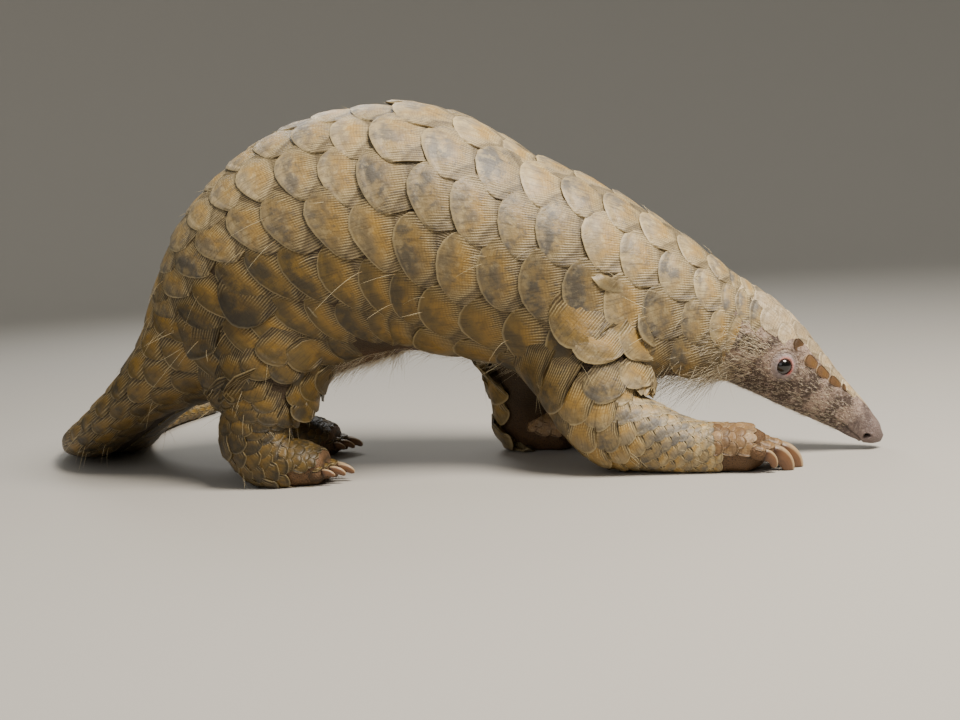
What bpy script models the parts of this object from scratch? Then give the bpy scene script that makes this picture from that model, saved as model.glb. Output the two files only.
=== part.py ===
"""A walking Indian pangolin, life size, as a still display model.

Metres, +Z up. The snout points along +X, the animal's left is +Y, and the
feet and tail rest on z = 0. The body is lofted through named cross-sections,
its scales are raised on it as overlapping plates, and the whole is parted by
thin cuts into the pieces that a person would name.
"""

import math
import random
from dataclasses import dataclass

import bmesh
import bpy
import numpy as np
from mathutils import Matrix, Vector

# Driving dimensions
GAP = 0.0003            # left between two nodes that touch
FLOOR_SLAB = 0.08       # depth of the block that trims the soles flat
SCALE_ROW_STEP = 30.0   # degrees between neighbouring rows of scales
SCALE_OVERLAP = 1.9     # length of a scale, in spacings along its row
SCALE_SIDE = 1.02       # half width of a scale, in row steps
SCALE_RISE = 0.20       # height of a free edge, in spacings
SCALE_SINK = 0.12       # depth of a plate's foot under the skin, in spacings
EYE_RADIUS = 0.0072     # the eyeball
SEED = 11               # for the small irregularities of the scales
SPINE_STATIONS = 60     # rings of the body's skin
SPINE_SIDES = 18
LEG_STATIONS = 9        # rings of a leg's skin
LEG_SIDES = 8
CLAW_TIP = 0.0005       # half thickness of a claw at its tip
CLAW_TAPER = 0.62       # power by which a claw thins towards its tip
CLAW_STEPS = 4          # lengths between the rings of a claw
CLAW_SIDES = 5
CLAW_SECTION = (0.82, 1.0, 0.9)   # half width, height over the middle and depth under it, in half thicknesses
TOE_SIDES = 5
TOE_WIDTH = 0.8         # half width of a toe, in half heights
CLAW_POWER = 2.2        # squareness of toes and claws
LIMB_CELL_INNER = 0.025  # how far a limb's cut runs past its inner root
LIMB_CELL_OUTER = 0.060  # and past its outer root
LIMB_CELL_DEPTH = 0.20
END_CELL = 0.8           # side of the block past a cut across the body
WORLD_AXES = Matrix.Identity(3)
FOOT_ARC = 0.42         # how far the outer toes stand back, as a share of their offset


@dataclass
class Ring:
    """One cross-section: its centre, its reach to the sides, up and down, and its shape."""

    x: float
    y: float
    z: float
    wide: float
    up: float
    down: float
    power: float = 2.1
    twist: float = 0.0


# Snout to tail tip, along the middle of the body
SPINE = [
    Ring(0.2900, 0.000, 0.0072, 0.0028, 0.0030, 0.0030),
    Ring(0.2862, 0.000, 0.0092, 0.0066, 0.0070, 0.0064),
    Ring(0.2770, 0.000, 0.0165, 0.0098, 0.0115, 0.0112),
    Ring(0.2650, 0.000, 0.0275, 0.0128, 0.0155, 0.0148),
    Ring(0.2500, 0.000, 0.0395, 0.0172, 0.0195, 0.0188),
    Ring(0.2320, 0.000, 0.0550, 0.0240, 0.0255, 0.0250),
    Ring(0.2120, 0.000, 0.0725, 0.0305, 0.0315, 0.0310),
    Ring(0.1920, 0.000, 0.0865, 0.0340, 0.0360, 0.0350),
    Ring(0.1640, 0.000, 0.0985, 0.0415, 0.0445, 0.0425, 2.1, 2.0),
    Ring(0.1280, 0.000, 0.1125, 0.0505, 0.0565, 0.0545, 2.1, 6.0),
    Ring(0.0850, 0.000, 0.1275, 0.0600, 0.0700, 0.0640, 2.1, 10.0),
    Ring(0.0190, 0.000, 0.1500, 0.0700, 0.0820, 0.0740, 2.1, 13.0),
    Ring(-0.0540, 0.000, 0.1745, 0.0790, 0.0935, 0.0900, 2.1, 11.0),
    Ring(-0.1180, 0.000, 0.1660, 0.0820, 0.0900, 0.0920, 2.1, 4.0),
    Ring(-0.1650, 0.000, 0.1420, 0.0760, 0.0760, 0.0860, 2.1, -3.0),
    Ring(-0.1980, 0.003, 0.1150, 0.0640, 0.0570, 0.0680, 2.1, -5.0),
    Ring(-0.2260, 0.008, 0.0890, 0.0520, 0.0360, 0.0400, 2.2, -4.0),
    Ring(-0.2560, 0.018, 0.0650, 0.0460, 0.0240, 0.0210, 2.4, 0.0),
    Ring(-0.2860, 0.034, 0.0430, 0.0430, 0.0205, 0.0150, 2.4, 4.0),
    Ring(-0.3140, 0.058, 0.0250, 0.0400, 0.0180, 0.0130, 2.4, 4.0),
    Ring(-0.3360, 0.092, 0.0145, 0.0375, 0.0155, 0.0120, 2.4, 0.0),
    Ring(-0.3500, 0.132, 0.0115, 0.0345, 0.0140, 0.0118, 2.4, 0.0),
    Ring(-0.3570, 0.176, 0.0105, 0.0305, 0.0125, 0.0110, 2.4, 0.0),
    Ring(-0.3570, 0.221, 0.0095, 0.0255, 0.0108, 0.0100, 2.3, 0.0),
    Ring(-0.3500, 0.266, 0.0085, 0.0200, 0.0090, 0.0088, 2.2, 0.0),
    Ring(-0.3380, 0.306, 0.0072, 0.0140, 0.0070, 0.0074, 2.2, 0.0),
    Ring(-0.3280, 0.330, 0.0058, 0.0075, 0.0050, 0.0048, 2.1, 0.0),
    Ring(-0.3220, 0.341, 0.0048, 0.0025, 0.0025, 0.0025, 2.0, 0.0),
]

# Shoulder or hip to the knuckles, each leg
RIGHT_FORELEG = [
    Ring(0.0720, -0.018, 0.1200, 0.0290, 0.034, 0.034),
    Ring(0.0780, -0.032, 0.0920, 0.0370, 0.043, 0.040),
    Ring(0.0850, -0.046, 0.0600, 0.0310, 0.038, 0.032),
    Ring(0.1000, -0.054, 0.0350, 0.0245, 0.0280, 0.0270),
    Ring(0.1280, -0.058, 0.0240, 0.0205, 0.0215, 0.0232),
    Ring(0.1560, -0.060, 0.0180, 0.0180, 0.0160, 0.0202),
    Ring(0.1780, -0.060, 0.0168, 0.0190, 0.0140, 0.0200),
    Ring(0.1930, -0.060, 0.0162, 0.0195, 0.0130, 0.0196),
    Ring(0.2020, -0.060, 0.0150, 0.0130, 0.0090, 0.0120),
]
LEFT_FORELEG = [
    Ring(0.0470, 0.016, 0.1200, 0.0290, 0.036, 0.036),
    Ring(0.0420, 0.030, 0.0920, 0.0340, 0.042, 0.040),
    Ring(0.0350, 0.041, 0.0640, 0.0275, 0.032, 0.031),
    Ring(0.0280, 0.047, 0.0400, 0.0215, 0.0240, 0.0250),
    Ring(0.0300, 0.050, 0.0220, 0.0190, 0.0185, 0.0215),
    Ring(0.0460, 0.050, 0.0165, 0.0190, 0.0140, 0.0198),
    Ring(0.0575, 0.050, 0.0160, 0.0195, 0.0130, 0.0194),
    Ring(0.0660, 0.050, 0.0150, 0.0130, 0.0090, 0.0120),
]
RIGHT_HINDLEG = [
    Ring(-0.1480, -0.020, 0.1400, 0.0390, 0.052, 0.050),
    Ring(-0.1510, -0.034, 0.1120, 0.0420, 0.050, 0.046),
    Ring(-0.1520, -0.046, 0.0840, 0.0330, 0.038, 0.036),
    Ring(-0.1550, -0.053, 0.0560, 0.0255, 0.0285, 0.0285),
    Ring(-0.1560, -0.057, 0.0340, 0.0230, 0.0250, 0.0250),
    Ring(-0.1440, -0.058, 0.0190, 0.0215, 0.0195, 0.0224),
    Ring(-0.1240, -0.058, 0.0150, 0.0200, 0.0135, 0.0186),
    Ring(-0.1080, -0.058, 0.0118, 0.0170, 0.0095, 0.0146),
]
LEFT_HINDLEG = [
    Ring(-0.1600, 0.020, 0.1400, 0.0390, 0.052, 0.050),
    Ring(-0.1650, 0.034, 0.1120, 0.0420, 0.050, 0.046),
    Ring(-0.1690, 0.046, 0.0840, 0.0330, 0.038, 0.036),
    Ring(-0.1750, 0.053, 0.0560, 0.0255, 0.0285, 0.0285),
    Ring(-0.1760, 0.057, 0.0340, 0.0230, 0.0250, 0.0250),
    Ring(-0.1640, 0.058, 0.0190, 0.0215, 0.0195, 0.0224),
    Ring(-0.1440, 0.058, 0.0150, 0.0200, 0.0135, 0.0186),
    Ring(-0.1280, 0.058, 0.0118, 0.0170, 0.0095, 0.0146),
]

# Colours: base colour, roughness
SCALE_TAN = ((0.46, 0.33, 0.17, 1.0), 0.55)
SKIN_BROWN = ((0.36, 0.22, 0.16, 1.0), 0.7)
CLAW_HORN = ((0.55, 0.38, 0.22, 1.0), 0.4)
EYE_DARK = ((0.02, 0.012, 0.01, 1.0), 0.08)


class Course:
    """A smooth body through a list of rings, read by distance along it and angle round it.

    Angle 0 is the ring's up side, and 90 is its own side: the animal's right
    on the spine, and its left on a leg.
    """

    def __init__(self, rings, hint_start=(0, 0, 1), hint_end=(0, 0, 1)):
        self.table = np.array([[r.x, r.y, r.z, r.wide, r.up, r.down, r.power, r.twist] for r in rings])
        steps = np.linalg.norm(np.diff(self.table[:, :3], axis=0), axis=1)
        self.stops = np.concatenate([[0.0], np.cumsum(steps)])
        self.length = self.stops[-1]
        self.hints = np.array([hint_start, hint_end], float)
        secants = np.diff(self.table, axis=0) / steps[:, None]
        before = steps[:-1, None]
        after = steps[1:, None]
        self.slopes = np.empty_like(self.table)
        self.slopes[0] = secants[0]
        self.slopes[-1] = secants[-1]
        self.slopes[1:-1] = (secants[:-1] * after + secants[1:] * before) / (before + after)

    def read(self, along):
        """The ring values at some distances along the body."""
        along = np.clip(np.atleast_1d(along), 0.0, self.length)
        left = np.clip(np.searchsorted(self.stops, along, side="right") - 1, 0, len(self.stops) - 2)
        step = (self.stops[left + 1] - self.stops[left])[:, None]
        t = (along - self.stops[left])[:, None] / step
        keep = (1 + 2 * t) * (1 - t) ** 2
        gain = t * t * (3 - 2 * t)
        lead = t * (1 - t) ** 2 * step
        tail = t * t * (t - 1) * step
        return (keep * self.table[left] + gain * self.table[left + 1]
                + lead * self.slopes[left] + tail * self.slopes[left + 1])

    def frame(self, along):
        """The ring values with the directions ahead, side and up."""
        along = np.clip(np.atleast_1d(along), 0.0, self.length)
        values = self.read(along)
        reach = 0.0005
        ahead = self.read(along + reach)[:, :3] - self.read(along - reach)[:, :3]
        ahead /= np.linalg.norm(ahead, axis=1)[:, None]
        share = (along / self.length)[:, None]
        hint = self.hints[0] * (1 - share) + self.hints[1] * share
        side = np.cross(hint, ahead)
        side /= np.linalg.norm(side, axis=1)[:, None]
        up = np.cross(ahead, side)
        turn = np.radians(values[:, 7])[:, None]
        turned_up = up * np.cos(turn) + side * np.sin(turn)
        turned_side = side * np.cos(turn) - up * np.sin(turn)
        return values, ahead, turned_side, turned_up

    def skin(self, along, angle):
        """Points on the surface."""
        values, _, side, up = self.frame(along)
        turn = np.radians(np.atleast_1d(angle))
        bend = 2.0 / values[:, 6]
        across = np.sign(np.sin(turn)) * np.abs(np.sin(turn)) ** bend * values[:, 3]
        height = np.where(np.cos(turn) >= 0, values[:, 4], values[:, 5])
        rise = np.sign(np.cos(turn)) * np.abs(np.cos(turn)) ** bend * height
        return values[:, :3] + side * across[:, None] + up * rise[:, None]

    def point(self, along, angle, lift=0.0):
        """Points lifted off the surface along its normal."""
        along = np.clip(np.atleast_1d(along).astype(float), 0.0, self.length)
        angle = np.atleast_1d(angle).astype(float)
        place = self.skin(along, angle)
        along_step = 0.001
        angle_step = 1.5
        run = self.skin(along + along_step, angle) - self.skin(along - along_step, angle)
        round_ = self.skin(along, angle + angle_step) - self.skin(along, angle - angle_step)
        normal = np.cross(round_, run)
        normal /= np.maximum(np.linalg.norm(normal, axis=1), 1e-9)[:, None]
        outward = place - self.read(along)[:, :3]
        normal *= np.sign(np.sum(normal * outward, axis=1))[:, None]
        return place + normal * np.atleast_1d(lift)[:, None]


# Objects and collections

def clear_scene():
    for old in list(bpy.data.objects):
        bpy.data.objects.remove(old, do_unlink=True)


def new_collection(name):
    group = bpy.data.collections.new(name)
    bpy.context.scene.collection.children.link(group)
    return group


def face_out(mesh):
    """Turn every face of a closed mesh outwards."""
    work = bmesh.new()
    work.from_mesh(mesh)
    bmesh.ops.recalc_face_normals(work, faces=work.faces)
    work.to_mesh(mesh)
    work.free()


def linked(name, mesh, group):
    obj = bpy.data.objects.new(name, mesh)
    group.objects.link(obj)
    return obj


def mesh_object(name, points, faces, group):
    mesh = bpy.data.meshes.new(name)
    mesh.from_pydata([tuple(p) for p in points], [], faces)
    face_out(mesh)
    return linked(name, mesh, group)


def ball(name, centre, radii, axes, group, segments=16, rings=10):
    """An ellipsoid from a UV sphere, its radii along three given directions."""
    work = bmesh.new()
    place = Matrix.Translation(centre) @ axes.to_4x4() @ Matrix.Diagonal((*radii, 1.0))
    bmesh.ops.create_uvsphere(work, u_segments=segments, v_segments=rings, radius=1.0, matrix=place)
    mesh = bpy.data.meshes.new(name)
    work.to_mesh(mesh)
    work.free()
    face_out(mesh)
    return linked(name, mesh, group)


def block(name, centre, size, axes, group):
    """A box whose sides lie along three given directions, as a cutter."""
    work = bmesh.new()
    place = Matrix.Translation(centre) @ axes.to_4x4() @ Matrix.Diagonal((*size, 1.0))
    bmesh.ops.create_cube(work, size=1.0, matrix=place)
    mesh = bpy.data.meshes.new(name)
    work.to_mesh(mesh)
    work.free()
    face_out(mesh)
    obj = linked(name, mesh, group)
    obj.hide_render = True
    obj.display_type = "WIRE"
    return obj


def loft(name, course, stations, sides, group):
    """A closed skin through a course, with a fan at each end."""
    angles = np.arange(sides) * (360.0 / sides)
    count = len(stations)
    skin = course.skin(np.repeat(stations, sides), np.tile(angles, count))
    ends = course.read(np.array([stations[0], stations[-1]]))[:, :3]
    points = np.vstack([skin, ends])
    faces = []
    for row in range(count - 1):
        for j in range(sides):
            k = (j + 1) % sides
            faces.append((row * sides + j, row * sides + k, (row + 1) * sides + k, (row + 1) * sides + j))
    last = (count - 1) * sides
    for j in range(sides):
        k = (j + 1) % sides
        faces.append((k, j, count * sides))
        faces.append((last + j, last + k, count * sides + 1))
    return mesh_object(name, points, faces, group)


def boolean(body, operation, other):
    """Join, cut or intersect with an object or a collection, and apply it."""
    modifier = body.modifiers.new("boolean", "BOOLEAN")
    modifier.operation = operation
    modifier.solver = "MANIFOLD"
    if isinstance(other, bpy.types.Collection):
        modifier.operand_type = "COLLECTION"
        modifier.collection = other
    else:
        modifier.object = other
    graph = bpy.context.evaluated_depsgraph_get()
    mesh = bpy.data.meshes.new_from_object(body.evaluated_get(graph), depsgraph=graph)
    body.modifiers.clear()
    body.data = mesh


def join_all(body, group):
    """Fuse every object of a collection into a body, and remove them."""
    boolean(body, "UNION", group)
    for obj in list(group.objects):
        bpy.data.objects.remove(obj, do_unlink=True)


def keep_largest(obj):
    """Drop loose scraps and sealed hollows: only the largest closed surface stays."""
    work = bmesh.new()
    work.from_mesh(obj.data)
    seen = set()
    shells = []
    for start in work.verts:
        if start in seen:
            continue
        seen.add(start)
        shell = [start]
        for vert in shell:
            for edge in vert.link_edges:
                other = edge.other_vert(vert)
                if other not in seen:
                    seen.add(other)
                    shell.append(other)
        low = [min(v.co[i] for v in shell) for i in range(3)]
        high = [max(v.co[i] for v in shell) for i in range(3)]
        shells.append((math.dist(low, high), shell))
    shells.sort(key=lambda item: -item[0])
    extra = [vert for _, shell in shells[1:] for vert in shell]
    bmesh.ops.delete(work, geom=extra, context="VERTS")
    work.to_mesh(obj.data)
    work.free()


def copy_of(obj, name, group):
    other = bpy.data.objects.new(name, obj.data.copy())
    group.objects.link(other)
    return other


# Scales

# Outline of a plate: distance from root to tip, and side, both as shares
PLATE_OUTLINE = [(0.0, -0.5), (0.55, -1.0), (0.95, -0.45), (0.95, 0.45), (0.55, 1.0), (0.0, 0.5)]
PLATE_CROWN = (0.66, 0.0, 1.16)   # the high point of its face, and its height as a share of the edge's
SMALL_OUTLINE = [(0.0, -0.5), (0.6, -1.0), (1.0, 0.0), (0.6, 1.0), (0.0, 0.5)]


def plate(name, course, tip, angle, spacing, outline, group, step=SCALE_ROW_STEP, root=0.0):
    """One scale: a wedge on the skin, sunk at its root and raised at its tip."""
    count = len(outline)
    length = min(spacing * SCALE_OVERLAP, tip - root)
    shares = np.array([p[0] for p in outline] * 2 + [PLATE_CROWN[0]])
    sides = np.array([p[1] for p in outline] * 2 + [PLATE_CROWN[1]])
    sink = -SCALE_SINK * spacing
    climb = (SCALE_RISE + 0.5 * SCALE_SINK) * spacing
    foot = 0.5 * sink
    lifts = np.where(np.arange(2 * count + 1) < count, sink, foot + climb * shares)
    lifts[-1] = foot + climb * PLATE_CROWN[0] * PLATE_CROWN[2]
    points = course.point(tip - (1.0 - shares) * length, angle + sides * SCALE_SIDE * step, lifts)
    faces = [tuple(range(count))]
    for j in range(count):
        k = (j + 1) % count
        faces.append((j, k, count + k, count + j))
        faces.append((count + j, count + k, 2 * count))
    return mesh_object(name, points, faces, group)


def lattice(start, end, spacing_at, reach_at, step=SCALE_ROW_STEP):
    """Places of scales in staggered rows: distance along, angle and spacing."""
    along = start
    row = 0
    while along < end:
        spacing = float(np.interp(along, *zip(*spacing_at)))
        reach = int(round(float(np.interp(along, *zip(*reach_at)))))
        for j in range(-reach, reach + 1):
            if (j + row) % 2 == 0:
                yield along, j * step, spacing
        along += spacing / 2
        row += 1


# Where the scales grow: pairs of distance along the course and value there
SPINE_SPACING = [(0.030, 0.0150), (0.10, 0.0180), (0.125, 0.0210), (0.155, 0.0260), (0.195, 0.0320),
                 (0.25, 0.0350), (0.56, 0.0350), (0.62, 0.0400), (0.80, 0.0400), (1.0, 0.0330)]
SPINE_REACH = [(0.030, 1), (0.055, 2), (0.10, 2), (0.122, 3), (0.140, 4), (1.0, 4)]
SPINE_SCALES = (0.040, 0.990)
CROWN_ANGLE = 70.0      # the rows beyond this angle start behind the ears
BEHIND_EAR = 0.1335
SHORTEST_SCALE = 0.012
LEG_STEP = 40.0
FOOT_BARE = 0.024       # length of each foot that has no scales behind its toes
LEG_REACH = [(0.0, 1), (1.0, 1)]
FORELEG_SPACING = [(0.0, 0.032), (0.06, 0.031), (0.15, 0.029), (0.20, 0.028)]
HINDLEG_SPACING = [(0.0, 0.034), (0.08, 0.031), (0.15, 0.029), (0.20, 0.028)]

# Eyes, ears, nostrils and mouth: distance along the spine course and angle on it
EYE_PLACE = (0.0910, 89.5)
EYE_DEPTH = 0.0042
LID_RADIUS = 0.0066
LID_ROLL = 0.0016
LID_SINK = 0.0006
LID_STRETCH = 1.12      # the lids' length along the head, in heights
EAR_PLACE = (0.1235, 92.0)
EAR_RADII = (0.0062, 0.0050, 0.0112)
EAR_CUP = (0.8, 0.0028, 0.0030)        # size of the cup in ear sizes, how far out and how far ahead it sits
NOSTRIL_PLACE = (0.0113, 110.0)
NOSE_RADII = (0.0042, 0.0028, 0.0036)  # the swelling round a nostril
NOSE_SINK = 0.0012
NOSTRIL_RADII = (0.0022, 0.0020, 0.0011)
NOSTRIL_OFFSET = (0.0014, 0.0008)      # how far out and how far ahead the nostril is cut
MOUTH_LINE = [(0.0380, 118.0), (0.0260, 124.0), (0.0160, 134.0), (0.0110, 156.0)]
MOUTH_CUT = 0.0009
MOUTH_LIFT = 0.0004
LIP_ROLL = 0.0016
LIP_SINK = 0.0006
LIP_ANGLE = 9.0         # between the mouth and each lip


@dataclass
class Foot:
    """The toes of one foot, in the order from the inner to the outer side."""

    front: float
    middle: float
    height: float
    spread: list
    knuckle: list
    claw_base: list
    claw_curl: list
    claw_sweep: float
    claw_start: float


FOREFOOT_SPREAD = [-0.0190, -0.0106, 0.0, 0.0106, 0.0190]
FOREFOOT_KNUCKLE = [0.0048, 0.0066, 0.0074, 0.0064, 0.0046]
FORECLAW_BASE = [0.0026, 0.0045, 0.0052, 0.0043, 0.0026]
FORECLAW_CURL = [0.0070, 0.0115, 0.0125, 0.0110, 0.0070]
HINDFOOT_SPREAD = [-0.0152, -0.0082, 0.0, 0.0082, 0.0152]
HINDFOOT_KNUCKLE = [0.0046, 0.0054, 0.0058, 0.0054, 0.0046]
HINDCLAW_BASE = [0.0022, 0.0027, 0.0029, 0.0027, 0.0022]
HINDCLAW_CURL = [0.0085, 0.0105, 0.0110, 0.0105, 0.0085]
TOE_SHAPE = [(-1.8, 1.0, 0.65), (0.3, 1.0, 1.0), (1.6, 0.85, 1.0)]   # reach and radius in knuckle sizes, spread

FEET = {
    "right_fore": Foot(0.2020, -0.0600, 0.0150, FOREFOOT_SPREAD, FOREFOOT_KNUCKLE,
                       FORECLAW_BASE, FORECLAW_CURL, 100.0, 8.0),
    "left_fore": Foot(0.0660, 0.0500, 0.0150, FOREFOOT_SPREAD, FOREFOOT_KNUCKLE,
                      FORECLAW_BASE, FORECLAW_CURL, 100.0, 8.0),
    "right_hind": Foot(-0.1080, -0.0580, 0.0090, HINDFOOT_SPREAD, HINDFOOT_KNUCKLE,
                       HINDCLAW_BASE, HINDCLAW_CURL, 62.0, -12.0),
    "left_hind": Foot(-0.1280, 0.0580, 0.0090, HINDFOOT_SPREAD, HINDFOOT_KNUCKLE,
                      HINDCLAW_BASE, HINDCLAW_CURL, 62.0, -12.0),
}


def spine_scales(spine, group):
    """The rows of scales from the forehead to the tail tip."""
    draw = random.Random(SEED)
    start, end = SPINE_SCALES
    for tip, angle, spacing in lattice(start, end, SPINE_SPACING, SPINE_REACH):
        place = tip + draw.uniform(-0.03, 0.03) * spacing
        turn = angle + draw.uniform(-0.8, 0.8)
        root = BEHIND_EAR if abs(angle) > CROWN_ANGLE else 0.0
        if place - root < SHORTEST_SCALE:
            continue
        outline = PLATE_OUTLINE if 0.14 < tip < 0.6 else SMALL_OUTLINE
        plate("scale", spine, place, turn, spacing, outline, group, root=root)


def leg_scales(leg, outer, start, spacing_at, group, seed):
    """Scales down the front, outer side and back of a leg."""
    draw = random.Random(seed)
    for tip, angle, spacing in lattice(start, leg.length - FOOT_BARE, spacing_at, LEG_REACH, LEG_STEP):
        turn = outer + angle + draw.uniform(-1.5, 1.5)
        plate("scale", leg, tip, turn, spacing, SMALL_OUTLINE, group, LEG_STEP)


# Head

def head_axes(spine, place, side):
    """A point on the head's skin with the directions outward, ahead and across."""
    along, angle = place
    here = Vector(spine.point(along, side * angle)[0])
    out = (Vector(spine.point(along, side * angle, 0.01)[0]) - here).normalized()
    ahead = (Vector(spine.point(along - 0.002, side * angle)[0]) - here)
    ahead = (ahead - ahead.dot(out) * out).normalized()
    across = out.cross(ahead)
    return here, out, ahead, across


def axes_matrix(first, second, third):
    return Matrix((first, second, third)).transposed()


def ring_roll(name, centre, radius, roll, axes, group, stretch=1.0):
    """A torus about the third direction, such as the lids round an eye."""
    bpy.ops.mesh.primitive_torus_add(major_radius=radius, minor_radius=roll,
                                     major_segments=10, minor_segments=4)
    obj = bpy.context.object
    obj.name = name
    for other in list(obj.users_collection):
        other.objects.unlink(obj)
    group.objects.link(obj)
    obj.data.transform(Matrix.Diagonal((stretch, 1.0, 1.0, 1.0)))
    obj.data.transform(Matrix.Translation(centre) @ axes.to_4x4())
    face_out(obj.data)
    return obj


def tube(name, points, radius, group, sides=5):
    """A closed round strip through some points, tapering at both ends."""
    radii = [radius * (0.35 if i in (0, len(points) - 1) else 1.0) for i in range(len(points))]
    rings = [Ring(*p, r, r, r, 2.0) for p, r in zip(points, radii)]
    course = Course(rings, (0.3, 0, 1), (0.3, 0, 1))
    return loft(name, course, course.stops, sides, group)


def mouth_points(spine, turn, lift):
    """The line of the mouth, from the right corner round under the nose to the left one."""
    half = [(along, angle + turn) for along, angle in MOUTH_LINE]
    bottom = [(MOUTH_LINE[-1][0] - 0.001, 180.0)]
    line = half + bottom + [(along, 360.0 - angle) for along, angle in reversed(half)]
    return [tuple(spine.point(along, angle, lift)[0]) for along, angle in line]


def toe_line(foot, number):
    """The knuckle's centre and size, and the direction in which its claw leaves it."""
    across = foot.spread[number]
    centre = Vector((foot.front - FOOT_ARC * abs(across), foot.middle + across, foot.height))
    pitch = math.radians(foot.claw_start + 0.5 * foot.claw_sweep / CLAW_STEPS)
    return centre, foot.knuckle[number], Vector((math.cos(pitch), 0.0, -math.sin(pitch)))


def toe(name, foot, number, group):
    """A toe with a flat front, which its claw meets face to face."""
    centre, size, heading = toe_line(foot, number)
    rings = []
    for reach, share, spread in TOE_SHAPE:
        at = centre + heading * reach * size
        at.y += (spread - 1.0) * foot.spread[number]
        thick = share * size
        rings.append(Ring(at.x, at.y, at.z, TOE_WIDTH * thick, thick, thick, CLAW_POWER))
    course = Course(rings)
    return loft(name, course, course.stops, TOE_SIDES, group)


def claw(name, foot, number, group):
    """A claw that curls down in its own upright plane, from the toe to its tip."""
    centre, size, heading = toe_line(foot, number)
    at = centre + heading * (TOE_SHAPE[-1][0] * size + GAP)
    stride = foot.claw_curl[number] * math.radians(foot.claw_sweep) / CLAW_STEPS
    rings = []
    for i in range(CLAW_STEPS + 1):
        share = i / CLAW_STEPS
        thick = foot.claw_base[number] * (1.0 - share) ** CLAW_TAPER + CLAW_TIP
        wide, up, down = (part * thick for part in CLAW_SECTION)
        rings.append(Ring(at.x, at.y, at.z, wide, up, down, CLAW_POWER))
        pitch = math.radians(foot.claw_start + foot.claw_sweep * (share + 0.5 / CLAW_STEPS))
        at = at + Vector((math.cos(pitch), 0.0, -math.sin(pitch))) * stride
    course = Course(rings, (0, 0, 1), (1, 0, 0))
    return loft(name, course, course.stops, CLAW_SIDES, group)


# Parting the whole into its nodes

@dataclass
class Cell:
    """A box that parts one node from the rest: its centre, full size and axes."""

    name: str
    centre: Vector
    size: Vector
    axes: Matrix


def straight_cell(name, low, high):
    """A cell between two corners, along the world's axes."""
    low = Vector(low)
    high = Vector(high)
    return Cell(name, (low + high) / 2, high - low, WORLD_AXES)


def limb_cell(name, side, inner, outer, low_x, high_x):
    """A cell under the slanted plane from a limb's inner root to its outer one."""
    lower = Vector((0.0, side * inner[0], inner[1]))
    upper = Vector((0.0, side * outer[0], outer[1]))
    slope = (upper - lower).normalized()
    ahead = Vector((1.0, 0.0, 0.0))
    down = ahead.cross(slope) * -side
    down = down if down.z < 0 else -down
    start = lower - slope * LIMB_CELL_INNER
    end = upper + slope * LIMB_CELL_OUTER
    middle = (start + end) / 2 + down * LIMB_CELL_DEPTH / 2 + ahead * (low_x + high_x) / 2
    size = Vector((high_x - low_x, (end - start).length, LIMB_CELL_DEPTH))
    return Cell(name, middle, size, axes_matrix(ahead, slope, down))


def end_cell(name, course, along, direction):
    """A large cell past a cross-section, towards the snout or the tail tip."""
    values, ahead, side, up = course.frame(along)
    ahead = Vector(ahead[0]) * direction
    side = Vector(side[0])
    up = Vector(up[0])
    centre = Vector(values[0][:3]) + ahead * END_CELL / 2
    return Cell(name, centre, Vector((END_CELL,) * 3), axes_matrix(ahead, side, up))


def part_off(rest, cell, parts, tools):
    """Take what lies inside a cell off the rest, with the gap between them."""
    piece = copy_of(rest, cell.name, parts)
    inner = block("inner", cell.centre, cell.size, cell.axes, tools)
    boolean(piece, "INTERSECT", inner)
    grown = cell.size + Vector((2 * GAP,) * 3)
    outer = block("outer", cell.centre, grown, cell.axes, tools)
    boolean(rest, "DIFFERENCE", outer)
    for tool in (inner, outer):
        bpy.data.objects.remove(tool, do_unlink=True)
    keep_largest(piece)
    return piece


# Main

def material_for(name, look):
    colour, roughness = look
    material = bpy.data.materials.new(name)
    material.use_nodes = True
    shader = material.node_tree.nodes["Principled BSDF"]
    shader.inputs["Base Color"].default_value = colour
    shader.inputs["Roughness"].default_value = roughness
    shader.inputs["Metallic"].default_value = 0.0
    return material


def build_body(spine, legs, group):
    """The whole skin with its scales, as one closed body."""
    body = loft("body", spine, np.linspace(0.0, spine.length, SPINE_STATIONS), SPINE_SIDES, group)
    extra = new_collection("extra")
    for seed, (name, (leg, outer, start, spacing)) in enumerate(legs.items()):
        loft(name, leg, np.linspace(0.0, leg.length, LEG_STATIONS), LEG_SIDES, extra)
        leg_scales(leg, outer, start, spacing, extra, SEED + 1 + seed)
    spine_scales(spine, extra)
    for side in (1, -1):
        here, out, ahead, across = head_axes(spine, EYE_PLACE, side)
        lid_axes = axes_matrix(ahead, across, out)
        ring_roll("lid", here - out * LID_SINK, LID_RADIUS, LID_ROLL, lid_axes, extra, LID_STRETCH)
        here, out, ahead, across = head_axes(spine, EAR_PLACE, side)
        ball("ear", here, EAR_RADII, axes_matrix(ahead, out, across), extra, 10, 6)
        here, out, ahead, across = head_axes(spine, NOSTRIL_PLACE, side)
        ball("nose", here - out * NOSE_SINK, NOSE_RADII, axes_matrix(ahead, out, across), extra, 8, 5)
    tube("lower_lip", mouth_points(spine, LIP_ANGLE, -LIP_SINK), LIP_ROLL, extra)
    tube("upper_lip", mouth_points(spine, -LIP_ANGLE, -LIP_SINK), LIP_ROLL, extra)
    for foot in FEET.values():
        for number in range(len(foot.spread)):
            toe("toe", foot, number, extra)
    join_all(body, extra)
    return body


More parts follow.
